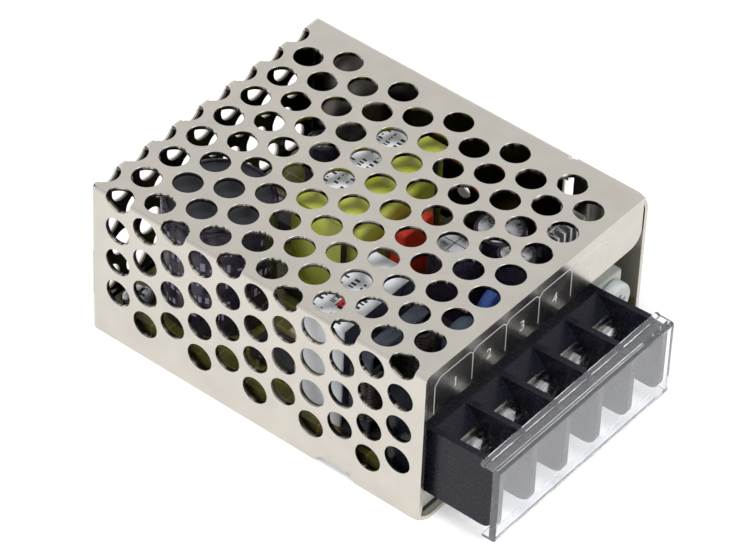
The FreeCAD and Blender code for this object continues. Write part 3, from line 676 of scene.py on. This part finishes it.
def buildClampPlate(way):
    p = clampPlate
    y = wayCentre(way)
    outline = [(y - p["half"], p["low"]), (y + p["half"], p["low"]), (y + p["half"], p["high"] - p["corner"]),
               (y + p["half"] - p["corner"], p["high"]), (y - p["half"] + p["corner"], p["high"]),
               (y - p["half"], p["high"] - p["corner"])]
    piece = newPiece("clampPlate" + str(way + 1), prism(outline, "x", p["rear"], p["front"]))
    tools = bmesh.new()
    addTurned(tools, p["hole"], (0, y, terminalScrew["height"]), "x", 24)
    combine(piece, tools)
    grooves = bmesh.new()
    for n in range(p["grooves"]):
        z = p["low"] + p["grooveFirst"] + n * p["grooveStep"]
        notch = [(p["front"] - 0.12, z), (p["front"] + 0.2, z - 0.2), (p["front"] + 0.2, z + 0.2)]
        addPrism(grooves, notch, "y", y - 4, y + 4)
    combine(piece, grooves)
    breakEdges(piece, 0.08, 2, 40)
    dress(piece, [platedScrew], "clamp_" + str(way + 1), ["clamp_plate_" + str(way + 1)])


def buildTerminalScrew(way):
    s = terminalScrew
    centre = (s["rear"], wayCentre(way), s["height"])
    profile = [(s["shank"] - 0.4, -s["length"])]
    travel = -s["length"] + 0.25
    while travel < -0.6:
        profile += [(s["shank"], travel), (s["shank"] - 0.22, travel + s["thread"] / 2)]
        travel += s["thread"]
    profile += [(s["shank"] - 0.1, -0.02), (s["head"] - 0.1, 0.0), (s["head"], 0.1), (s["head"], 1.3)]
    profile += [(s["head"] - 0.1, 1.48), (s["head"] - 0.35, 1.66), (s["head"] - 0.8, 1.76),
                (s["head"] - 1.4, 1.8)]
    bm = bmesh.new()
    addTurned(bm, profile, centre, "x", 48)
    piece = newPiece("terminalScrew" + str(way + 1), bm)
    face = (s["rear"] + s["thick"], centre[1], centre[2])
    recess(piece, [face], "x", s["crossLength"], s["crossWidth"], s["crossDepth"], s["crossTaper"])
    combine(piece, block((face[0] - s["slotDepth"], face[1] - s["slot"] / 2, face[2] - s["slotHalf"]),
                         (face[0] + 1, face[1] + s["slot"] / 2, face[2] + s["slotHalf"])))
    breakEdges(piece, 0.05, 1, 50)
    dress(piece, [platedScrew], "screw_" + str(way + 1), ["terminal_screw_" + str(way + 1)])


buildBlock()
for way in range(blockSizes["ways"]):
    buildClampPlate(way)
    buildTerminalScrew(way)
print("terminals made")


flapSizes = {"left": 1.3, "right": 42.0, "rear": 73.75, "front": 75.0, "top": 17.1, "bottom": 3.1,
             "flange": 0.7, "foot": 0.5, "footRear": 72.5, "barX": 72.05, "barZ": 16.75, "bar": 0.55,
             "round": 0.6, "edge": 0.12}


def buildFlap():
    f = flapSizes
    half = f["flange"] / 2
    lift = math.asin(half / f["bar"])
    turns = [lift + (math.tau - 2 * lift) * n / 16 for n in range(17)]
    outline = [(f["barX"] + f["bar"] * math.cos(a), f["barZ"] + f["bar"] * math.sin(a)) for a in turns]
    outline += [(f["rear"], f["top"] - f["flange"]), (f["rear"], f["bottom"] + f["foot"]),
                (f["footRear"], f["bottom"] + f["foot"]), (f["footRear"], f["bottom"])]
    outline += roundedCorner(f["front"] - f["round"], f["bottom"] + f["round"], f["round"], -math.pi / 2, 5)
    outline += roundedCorner(f["front"] - f["round"], f["top"] - f["round"], f["round"], 0, 5)
    piece = newPiece("clearFlap", prism(outline, "y", f["left"], f["right"]))
    breakEdges(piece, f["edge"], 2, 60)
    piece.visible_shadow = False  # light passes the clear sheet to what lies under it
    dress(piece, [clearFlap], "flap", ["terminal_cover"], 35, True)


buildFlap()
print("flap made")


trimmerSizes = {"y": 44.8, "z": 11.9, "rear": 56.0, "front": 61.2, "half": 3.3, "low": 4.6, "knob": 3.0,
                "knobRear": 61.35, "knobFace": 63.4, "shaft": 1.0, "slot": 3.6}


def buildTrimmer():
    t = trimmerSizes
    body = newPiece("trimmerBody", roundBlock((t["rear"], t["y"] - t["half"], t["low"]),
                                              (t["front"], t["y"] + t["half"], t["z"] + t["half"]), 0.35, 3))
    bore = bmesh.new()
    addTurned(bore, [(1.07, 58.1), (1.07, 62.0)], (0, t["y"], t["z"]), "x", 28)
    combine(body, bore)
    dress(body, [palePlastic], "case", ["trimmer_body"])
    deep = t["knobFace"] - t["knobRear"]
    profile = [(t["shaft"], -3.1), (t["shaft"], 0), (t["knob"] - 0.25, 0.0), (t["knob"], 0.25),
               (t["knob"], deep - 0.6), (t["knob"] - 0.08, deep - 0.35), (t["knob"] - 0.28, deep - 0.12),
               (t["knob"] - 0.6, deep), (1.9, deep)]
    bm = bmesh.new()
    addTurned(bm, profile, (t["knobRear"], t["y"], t["z"]), "x", 48)
    knob = newPiece("trimmerKnob", bm)
    recess(knob, [(t["knobFace"], t["y"], t["z"])], "x", t["slot"], 0.8, 0.6)
    dress(knob, [whiteKnob], "trimmer", ["trimmer_knob"])


buildTrimmer()
print("trimmer made")


boardTop = 4.6
mainCan = {"x": 13.7, "y": 13.0, "radius": 8.6, "top": 25.0, "lip": 0.9}
coilBlock = {"rear": 20.0, "front": 32.0, "left": 20.2, "right": 43.8, "top": 24.0, "base": 8.0, "bar": 2.4,
             "half": 4.0, "wrap": 0.16, "tapeRear": 5.2, "tapeFront": 5.4}
greyCapacitor = {"low": (36.0, 3.5), "high": (44.8, 20.0), "top": 23.5}
lineChoke = {"rear": 45.6, "front": 51.0, "left": 4.0, "right": 18.0, "top": 21.0, "bar": 2.6, "base": 6.1,
             "wire": 0.36, "turns": 15}
rng = random.Random(11)


# Short generic strokes that read as print on a flat top: (x, y) corners, then how many rows
def printTop(bm, low, high, z, rows, paint):
    height = (high[0] - low[0]) / rows
    for row in range(rows):
        x = low[0] + height * (row + 0.25)
        y = low[1]
        while y < high[1] - 0.5:
            length = rng.uniform(0.3, 1.1)
            if rng.random() < 0.75:
                far = (x + height * rng.choice((0.18, 0.5, 0.5)), min(y + length * 0.5, high[1]), z + 0.012)
                addBlock(bm, (x, y, z), far, paint)
            y += length


def buildMainCan():
    c = mainCan
    bm = bmesh.new()
    r, top = c["radius"], c["top"] - boardTop
    foot = (c["x"], c["y"], boardTop)
    inner = r - c["lip"]
    sleeve = [(r - 0.5, 0), (r - 0.12, 0.2), (r, 0.9), (r, top - 0.9), (r - 0.1, top - 0.45),
              (r - 0.3, top - 0.15), (r - 0.6, top), (inner, top - 0.02), (inner - 0.05, top - 0.25)]
    addTurned(bm, sleeve, foot, "z", 72)
    # The top disc is coloured dark slate, a painted reflection of the cover's underside in its aluminium face
    disc = [(inner - 0.06, top - 0.6), (inner - 0.06, top - 0.2), (inner - 0.4, top - 0.14),
            (2.0, top - 0.14), (0.4, top - 0.14)]
    addTurned(bm, disc, foot, "z", 72, 1)
    # Marks printed on the sleeve, bent round it
    for row in range(5):
        z = 8.2 + row * 3.1
        turn = math.radians(-150)
        while turn < math.radians(10):
            width = rng.uniform(0.03, 0.09)
            tall = rng.choice((0.5, 1.1, 1.1, 1.5))
            if rng.random() < 0.7:
                reach = r + 0.015
                spots = ((turn, z), (turn + width, z), (turn + width, z + tall), (turn, z + tall))
                corners = [bm.verts.new((c["x"] + reach * math.cos(a), c["y"] + reach * math.sin(a), h))
                           for a, h in spots]
                bm.faces.new(corners).material_index = 2
            turn += width + rng.uniform(0.03, 0.08)
    piece = newPiece("mainCapacitor", bm)
    dress(piece, [darkSleeve, paintedReflectionDisc, paleInk], "case", ["main_capacitor"], 40)


# A sheet of tape over the core: a grid that sags and creases between its edges
def tapeSheet(bm, low, high, z, drop, steps=(16, 40), crease=0.22):
    def height(u, v):
        bend = crease * (math.sin(7 * u + 5 * v) * math.sin(3.1 * v + 9 * u) + 0.4 * math.sin(23 * v + 6 * u))
        edge = min(1.0, 6 * min(u, 1 - u, v, 1 - v))
        return z + (bend - crease) * 0.5 * edge
    grid = []
    for i in range(steps[0] + 1):
        u = i / steps[0]
        row = []
        for j in range(steps[1] + 1):
            v = j / steps[1]
            x, y = low[0] + (high[0] - low[0]) * u, low[1] + (high[1] - low[1]) * v
            row.append(bm.verts.new((x, y, height(u, v))))
        grid.append(row)
    for i in range(steps[0]):
        for j in range(steps[1]):
            bm.faces.new((grid[i][j], grid[i + 1][j], grid[i + 1][j + 1], grid[i][j + 1]))
    rim = [row[0] for row in grid] + grid[-1][1:] + [row[-1] for row in grid[-2::-1]] + grid[0][-2:0:-1]
    under = [bm.verts.new((vert.co.x, vert.co.y, z - drop)) for vert in rim]
    for n in range(len(rim)):
        m = (n + 1) % len(rim)
        bm.faces.new((rim[n], under[n], under[m], rim[m]))
    bm.faces.new(under)


# Four bars that close into the frame of a core: two legs, then the lower and the upper bar between them
def addCoreFrame(bm, x, half, core, lap, edge):
    left, right, base, top, bar = (core[key] for key in ("left", "right", "base", "top", "bar"))
    for low, high in (((left, base), (left + bar, top)), ((right - bar, base), (right, top)),
                      ((left + lap, base), (right - lap, base + bar)),
                      ((left + lap, top - bar), (right - lap, top - 0.02))):
        softBlock(bm, (x - half, *low), (x + half, *high), edge)


def buildTransformer():
    c = coilBlock
    x = (c["rear"] + c["front"]) / 2
    base, top, left, right = c["base"], c["top"], c["left"], c["right"]
    bm = bmesh.new()
    addCoreFrame(bm, x, c["half"], c, 0.3, 0.2)
    dress(newPiece("transformerCore", bm), [ferrite], "case", ["transformer_core"])

    inset = c["bar"] + 0.1
    bm = roundBlock((c["rear"], left + inset, base + inset), (c["front"], right - inset, top - inset), 1.3, 5)
    # One turn of tape holds the core: over its top and down both ends
    tapeSheet(bm, (x - c["tapeRear"], left - 0.1), (x + c["tapeFront"], right + 0.1), top + 0.3, 0.8)
    for near, far in ((left - c["wrap"], left + 0.1), (right - 0.1, right + c["wrap"])):
        softBlock(bm, (x - 4.6, near, base + 0.3), (x + 4.7, far, top - 0.2), 0.07, 1)
    dress(newPiece("transformerTape", bm), [yellowTape], "case", ["transformer_winding"], 50)

    low = boardTop + 0.4
    bm = roundBlock((c["rear"], left, low), (c["front"], right, base), 0.3)
    for n in range(5):
        for pinX in (c["rear"] + 0.6, c["front"] - 0.6):
            addTurned(bm, [(0.35, -0.4), (0.35, 0.6)], (pinX, left + 2.5 + n * 4.6, low), "z", 12, 1)
    dress(newPiece("transformerBobbin", bm), [darkBox, tinnedBrass], "case",
          ["transformer_bobbin"])

    bm = roundBlock((21.4, 25.2, top + 0.28), (26.8, 42.2, top + 0.4), 0.05, 1)
    printTop(bm, (21.9, 26.0), (26.4, 41.6), top + 0.4, 3, 1)
    dress(newPiece("transformerLabel", bm), [paperLabel, blackInk], "case")


def buildGreyCapacitor():
    g = greyCapacitor
    (rear, left), (front, right), top = g["low"], g["high"], g["top"]
    face = top - 0.014
    bm = roundBlock((rear, left, boardTop), (front - 0.012, right, top - 0.012), 0.35, 3)
    # A thin dark slate panel over the front face: painted shade, for a face that lies in shadow under the
    # cover
    addBlock(bm, (front - 0.014, left + 0.35, boardTop + 0.4), (front, right - 0.35, top - 0.25), 3)
    printTop(bm, (rear + 0.8, left + 0.9), (front - 1.0, right - 6.5), face, 4, 1)
    addBlock(bm, (40.2, 7.2, face), (41.3, 9.3, top - 0.002), 2)
    dress(newPiece("xCapacitor", bm), [greyBox, blackInk, redInk, slateTapeAndShade], "case",
          ["x_capacitor"])


# Wire wound round a leg whose section is a rounded rectangle
def windRound(bm, centre, half, low, high, turns, wire, steps=20):
    points = []
    for n in range(turns * steps + 1):
        a = math.tau * n / steps
        ca, sa = math.cos(a), math.sin(a)
        reach = (abs(ca) ** 4 + abs(sa) ** 4) ** -0.25
        points.append((centre[0] + half * ca * reach, centre[1] + half * sa * reach,
                       low + wire + (high - low - 2 * wire) * n / (turns * steps)))
    addWire(bm, points, wire)


# A plain box with rounded edges, fixed in the case
def buildBox(name, low, high, edge, steps, finish, node):
    dress(newPiece(name, roundBlock(low, high, edge, steps)), [finish], "case", [node])


def buildLineChoke():
    k = lineChoke
    middle = (k["rear"] + k["front"]) / 2
    half = k["bar"] / 2
    bm = bmesh.new()
    addCoreFrame(bm, middle, half, k, 0.2, 0.25)
    dress(newPiece("lineChokeCore", bm), [slateTapeAndShade], "case", ["filter_choke_core"])
    low, high = k["base"] + k["bar"] + 0.1, k["top"] - k["bar"] - 0.1
    bm = bmesh.new()
    for y in (k["left"] + half, k["right"] - half):
        windRound(bm, (middle, y), half + 0.8, low, high, k["turns"], k["wire"])
    dress(newPiece("lineChokeWire", bm), [darkWire], "case", ["filter_choke_winding"], 60)
    buildBox("lineChokeBase", (k["rear"], k["left"] - half, boardTop),
             (k["front"], k["right"] + half, k["base"]), 0.25, 2, darkBox, "filter_choke_bobbin")


discSizes = {"inrush": {"centre": (52.3, 21.4, 14.2), "radius": 3.6, "thick": 2.6},
             "yCapacitor": {"centre": (52.4, 28.6, 15.9), "radius": 3.3, "thick": 2.2}}


def buildDisc(name, sizes, finish, node):
    centre, radius, thick = sizes["centre"], sizes["radius"], sizes["thick"]
    x, y, z = centre
    bm = bmesh.new()
    half = thick / 2
    profile = [(radius - 1.1, -half), (radius - 0.4, -half + 0.2), (radius, -0.3), (radius, 0.3),
               (radius - 0.4, half - 0.2), (radius - 1.1, half)]
    addTurned(bm, profile, centre, "x", 48)
    for side in (-1, 1):
        foot = y + side * 2.5
        leg = [(x, foot, boardTop - 0.2), (x, foot, boardTop + 2), (x, foot - side * 0.1, z - radius + 0.8),
               (x, foot - side * 0.5, z - 0.6)]
        addWire(bm, leg, 0.3, 10, 1)
    dress(newPiece(name, bm), [finish, tinnedBrass], "case", [node])


# (x, y, radius, height) of each can
cans = {"output": ((43.8, 30.2, 4.0, 17.4), (45.4, 39.0, 4.0, 15.4), (50.4, 36.4, 3.0, 15.2)),
        "supply": ((10.0, 41.0, 2.5, 11.0),)}


def addCan(bm, x, y, radius, height):
    foot = (x, y, boardTop)
    sleeve = [(radius - 0.35, 0), (radius - 0.05, 0.1), (radius - 0.05, 0.7), (radius - 0.35, 0.95),
              (radius - 0.35, 1.15), (radius, 1.45), (radius, height - 0.5), (radius - 0.12, height - 0.18),
              (radius - 0.4, height - 0.04), (radius - 0.62, height - 0.05), (radius - 0.66, height - 0.2)]
    addTurned(bm, sleeve, foot, "z", 40)
    lid = [(radius - 0.67, height - 0.5), (radius - 0.67, height - 0.14), (radius - 0.9, height - 0.1),
           (0.5, height - 0.1)]
    addTurned(bm, lid, foot, "z", 40, 1)
    low, high = boardTop + height - 0.12, boardTop + height - 0.07
    # Two crossed vent lines on the lid
    for alongX, alongY in ((radius / 2, 0.06), (0.06, radius / 2)):
        addBlock(bm, (x - alongX, y - alongY, low), (x + alongX, y + alongY, high), 2)


def buildCans(name, places, node):
    bm = bmesh.new()
    for place in places:
        addCan(bm, *place)
    dress(newPiece(name, bm), [darkSleeve, canTop, blackInk], "case", [node], 40)


chipSizes = {"controller": {"low": (7.4, 28.4), "size": (9.4, 6.4), "height": 3.5, "legs": 4},
             "coupler": {"low": (33.6, 20.8), "size": (4.6, 6.4), "height": 3.6, "legs": 2},
             "rectifier": {"low": (25.4, 5.5), "size": (8.5, 6.4), "height": 3.2, "legs": 2},
             "inset": 0.8, "legHalf": 0.28, "leg": 0.25}


# A chip with legs along two sides, inside the room that its solid has
def buildChip(name, sizes, node):
    (x, y), (length, width), legs = sizes["low"], sizes["size"], sizes["legs"]
    inset, half, leg = chipSizes["inset"], chipSizes["legHalf"], chipSizes["leg"]
    top = boardTop + sizes["height"]
    knee = boardTop + sizes["height"] * 0.45
    bm = roundBlock((x, y + inset, boardTop + 0.4), (x + length, y + width - inset, top), 0.15)
    for n in range(legs):
        middle = x + length / legs * (n + 0.5)
        for near, far in ((y + inset + 0.1, y + 0.15), (y + width - inset - 0.1, y + width - 0.15)):
            outer = far + (leg if far < near else -leg)
            for (a, b), low in ((sorted((near, far)), knee), (sorted((far, outer)), boardTop)):
                addBlock(bm, (middle - half, a, low), (middle + half, b, knee + leg), 1)
    addTurned(bm, [(0.4, 0), (0.4, 0.012)], (x + 1.2, y + width - inset - 1.0, top), "z", 16, 2)
    dress(newPiece(name, bm), [darkBox, tinnedBrass, paleInk], "case", [node])


fuse = {"low": (42.0, 21.0), "high": (50.2, 25.2), "height": 8.0, "edge": 0.5}
snubber = {"low": (33.2, 28.4), "high": (36.0, 35.6), "height": 15.0, "edge": 0.6}
heatsink = {"rear": 50.9, "left": 41.9, "width": 6.8, "top": 20.5, "plate": 1.0, "fins": 5, "finThick": 0.6,
            "finRear": 51.7, "finFront": 53.7}
diode = {"rear": 48.6, "front": 50.9, "left": 42.7, "right": 47.9, "low": 8.0, "high": 14.4, "tabRear": 50.3,
         "tabLow": 14.0, "tabHigh": 17.0, "legPitch": 1.75}
rodChoke = {"x": 37.4, "y": 38.5, "radius": 1.6, "height": 12.0, "coil": 2.35, "low": 1.25,
            "high": 10.75, "turns": 6, "wire": 0.75}
resistors = {"places": ((28.0, 15.8), (12.5, 25.2), (35.2, 45.4)), "rise": 1.15, "bandStart": -1.3,
             "bandStep": 0.9}
boardScrews = {"places": ((5.0, 5.0), (5.0, 46.2), (40.5, 46.2)), "crossLength": 2.8, "crossWidth": 0.6,
               "crossDepth": 0.9}


def buildDiode():
    h = heatsink
    bm = roundBlock((h["rear"], h["left"], boardTop),
                    (h["rear"] + h["plate"], h["left"] + h["width"], h["top"]), 0.12)
    for n in range(h["fins"]):
        y = h["left"] + n * (h["width"] - h["finThick"]) / (h["fins"] - 1)
        softBlock(bm, (h["finRear"], y, boardTop), (h["finFront"], y + h["finThick"], h["top"]), 0.12)
    dress(newPiece("diodeHeatsink", bm), [bareAluminium], "case", ["diode_heatsink"])
    d = diode
    bm = roundBlock((d["rear"], d["left"], d["low"]), (d["front"], d["right"], d["high"]), 0.2)
    softBlock(bm, (d["tabRear"], d["left"], d["tabLow"]), (d["front"], d["right"], d["tabHigh"]), 0.1, 1, 1)
    for side in (-1, 0, 1):
        y = 45.0 + side * d["legPitch"]
        addBlock(bm, (49.4, y, boardTop), (49.9, y + 0.6, 8.2), 1)
    dress(newPiece("outputDiode", bm), [darkBox, tinnedBrass], "case", ["output_diode"])


def buildRodChoke():
    k = rodChoke
    r, top = k["radius"], k["height"]
    bm = bmesh.new()
    rod = [(r - 0.2, 0), (r, 0.2), (r, top - 0.2), (r - 0.2, top)]
    addTurned(bm, rod, (k["x"], k["y"], boardTop), "z", 32)
    dress(newPiece("rodChokeCore", bm), [ferrite], "case", ["output_choke_core"])
    bm = bmesh.new()
    windRound(bm, (k["x"], k["y"]), k["coil"], boardTop + k["low"], boardTop + k["high"], k["turns"],
              k["wire"], 28)
    dress(newPiece("rodChokeWire", bm), [copperWire], "case", ["output_choke_winding"], 60)


def buildResistors():
    r = resistors
    half = [(0.95, 1.7), (1.1, 1.9), (1.1, 2.5), (0.9, 2.85), (0.5, 3.0)]
    profile = [(radius, -travel) for radius, travel in half[::-1]] + half
    bm = bmesh.new()
    for x, y in r["places"]:
        addTurned(bm, profile, (x, y, boardTop + r["rise"]), "y", 28)
        for band in range(3):
            addTurned(bm, [(0.96, 0), (0.965, 0.05), (0.965, 0.4), (0.96, 0.45)],
                      (x, y + r["bandStart"] + band * r["bandStep"], boardTop + r["rise"]), "y", 28, band + 1)
    dress(newPiece("smallResistors", bm), [resistorBody, copperWire, redInk, blackInk], "case",
          ["small_resistors"])


def buildBoardScrews():
    s = boardScrews
    head = [(1.2, -3.6), (1.2, 0.0), (2.5, 0), (2.6, 0.12), (2.6, 0.6), (2.35, 1.05), (1.8, 1.35),
            (1.1, 1.48)]
    bm = bmesh.new()
    for x, y in s["places"]:
        addTurned(bm, head, (x, y, boardTop), "z", 36)
    piece = newPiece("boardScrews", bm)
    recess(piece, [(x, y, boardTop + 1.5) for x, y in s["places"]], "z", s["crossLength"], s["crossWidth"],
           s["crossDepth"])
    dress(piece, [platedScrew], "case", ["board_screws"])


buildMainCan()
buildTransformer()
buildGreyCapacitor()
buildLineChoke()
buildDisc("inrushThermistor", discSizes["inrush"], tealDisc, "inrush_thermistor")
buildDisc("yCapacitor", discSizes["yCapacitor"], blueDisc, "y_capacitor")
buildCans("outputCapacitors", cans["output"], "output_capacitors")
buildCans("supplyCapacitor", cans["supply"], "supply_capacitor")
buildChip("controllerChip", chipSizes["controller"], "controller_chip")
buildChip("optoCoupler", chipSizes["coupler"], "opto_coupler")
buildChip("bridgeRectifier", chipSizes["rectifier"], "bridge_rectifier")
for name, sizes, steps, finish, slot, node in (
        ("inputFuse", fuse, 3, darkBox, "dark_box", "input_fuse"),
        ("snubberCapacitor", snubber, 4, redBox, "red_box", "snubber_capacitor")):
    buildBox(name, (*sizes["low"], boardTop), (*sizes["high"], boardTop + sizes["height"]), sizes["edge"],
             steps, finish, node)
buildDiode()
buildRodChoke()
buildResistors()
buildBoardScrews()
print("board filled")


studio = {"floor": 4.0, "floorHeight": -0.00004, "floorShade": 0.28, "worldLight": 0.40,
          "worldHigh": (0.945, 0.945, 0.945), "key": 2.8, "front": 1.2, "top": 6.6}


# 1 for the rays by which the camera sees a surface: straight, in a mirror or through the clear flap
def seenByCamera(tree):
    path = addNode(tree, "LightPath")
    total = path.outputs["Is Camera Ray"]
    for name in ("Is Glossy Ray", "Is Transmission Ray"):
        total = addNode(tree, "Math", {0: total, 1: path.outputs[name]}, operation="MAXIMUM").outputs[0]
    return total


def buildFloor():
    half, z = studio["floor"], studio["floorHeight"]
    mesh = bpy.data.meshes.new("floor")
    corners = [(-half, -half, z), (half, -half, z), (half, half, z), (-half, half, z)]
    mesh.from_pydata(corners, [], [(0, 1, 2, 3)])
    floor = bpy.data.objects.new("floor", mesh)
    sceneObjects.link(floor)
    finish = bpy.data.materials.new("floorPaint")
    finish.use_nodes = True
    tree = finish.node_tree
    shader = tree.nodes["Principled BSDF"]
    shader.inputs["Base Color"].default_value = (0.8, 0.8, 0.8, 1)
    shader.inputs["Roughness"].default_value = 0.9
    shader.inputs["Specular IOR Level"].default_value = 0.0
    glow = addNode(tree, "Emission", {"Color": (1, 1, 1, 1), "Strength": studio["floorShade"]})
    none = addNode(tree, "Emission", {"Strength": 0})
    chosen = addNode(tree, "MixShader", {0: seenByCamera(tree), 1: none.outputs[0], 2: glow.outputs[0]})
    both = addNode(tree, "AddShader", {0: shader.outputs[0], 1: chosen.outputs[0]})
    tree.links.new(both.outputs[0], tree.nodes["Material Output"].inputs["Surface"])
    mesh.materials.append(finish)
    floor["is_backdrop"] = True


def buildWorld():
    world = bpy.data.worlds.new("studio")
    bpy.context.scene.world = world
    world.use_nodes = True
    tree = world.node_tree
    light = tree.nodes["Background"]
    light.inputs["Color"].default_value = (1, 1, 1, 1)
    light.inputs["Strength"].default_value = studio["worldLight"]
    place = addNode(tree, "TexCoord").outputs["Generated"]
    height = addNode(tree, "SeparateXYZ", {0: place}).outputs["Z"]
    ramp = addNode(tree, "ValToRGB", {"Fac": height})
    setRamp(ramp, (0.30, 0.62), ((1, 1, 1), studio["worldHigh"]))
    backdrop = addNode(tree, "Background", {"Color": ramp.outputs["Color"]})
    chosen = addNode(tree, "MixShader", {0: seenByCamera(tree), 1: light.outputs[0], 2: backdrop.outputs[0]})
    tree.links.new(chosen.outputs[0], tree.nodes["World Output"].inputs["Surface"])


def addLamp(name, place, aim, size, power, mirrored=True):
    lamp = bpy.data.lights.new(name, "AREA")
    lamp.shape = "SQUARE"
    lamp.size = size
    lamp.energy = power
    holder = bpy.data.objects.new(name, lamp)
    holder.location = place
    holder.rotation_mode = "QUATERNION"
    holder.rotation_quaternion = (Vector(aim) - Vector(place)).to_track_quat("-Z", "Y")
    holder.visible_glossy = mirrored
    sceneObjects.link(holder)


photoView = {"azimuth": 37.713, "elevation": 42.276, "roll": 2.398, "distance": 646.18, "focal": 4414.03,
             "across": -0.039, "up": 1.930, "target": (31.25, 25.5, 14.0), "sensor": 36.0, "picture": 732}


def buildCamera():
    v = photoView
    a, e, roll = (math.radians(v[name]) for name in ("azimuth", "elevation", "roll"))
    back = Vector((math.sin(a) * math.cos(e), -math.cos(a) * math.cos(e), math.sin(e)))
    right = (-back).cross(Vector((0, 0, 1))).normalized()
    up = right.cross(-back)
    right, up = (math.cos(roll) * right + math.sin(roll) * up, math.cos(roll) * up - math.sin(roll) * right)
    place = Vector(v["target"]) - v["across"] * right - v["up"] * up + v["distance"] * back
    camera = bpy.data.cameras.new("camera")
    camera.sensor_width = v["sensor"]
    camera.lens = v["focal"] / v["picture"] * v["sensor"]
    camera.clip_start = 0.05
    camera.clip_end = 50
    holder = bpy.data.objects.new("camera", camera)
    spin = Matrix((right, up, back)).transposed().to_4x4()
    holder.matrix_world = Matrix.Translation(caseFrame @ place) @ spin
    sceneObjects.link(holder)
    bpy.context.scene.camera = holder


buildFloor()
buildWorld()
addLamp("sideLamp", (-0.15, -0.75, 0.55), (0, 0, 0.01), 0.6, studio["key"], False)
addLamp("frontLamp", (0.8, 0.1, 0.5), (0, 0, 0.01), 0.5, studio["front"])
addLamp("topLamp", (0.12, -0.2, 1.0), (0, 0, 0.01), 0.45, studio["top"], False)
buildCamera()
bpy.context.scene.view_settings.view_transform = "Standard"
print("stage set")

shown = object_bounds()
sizes = {"cad": [list(corner) for corner in cadBox], "visual": [list(corner) for corner in shown]}
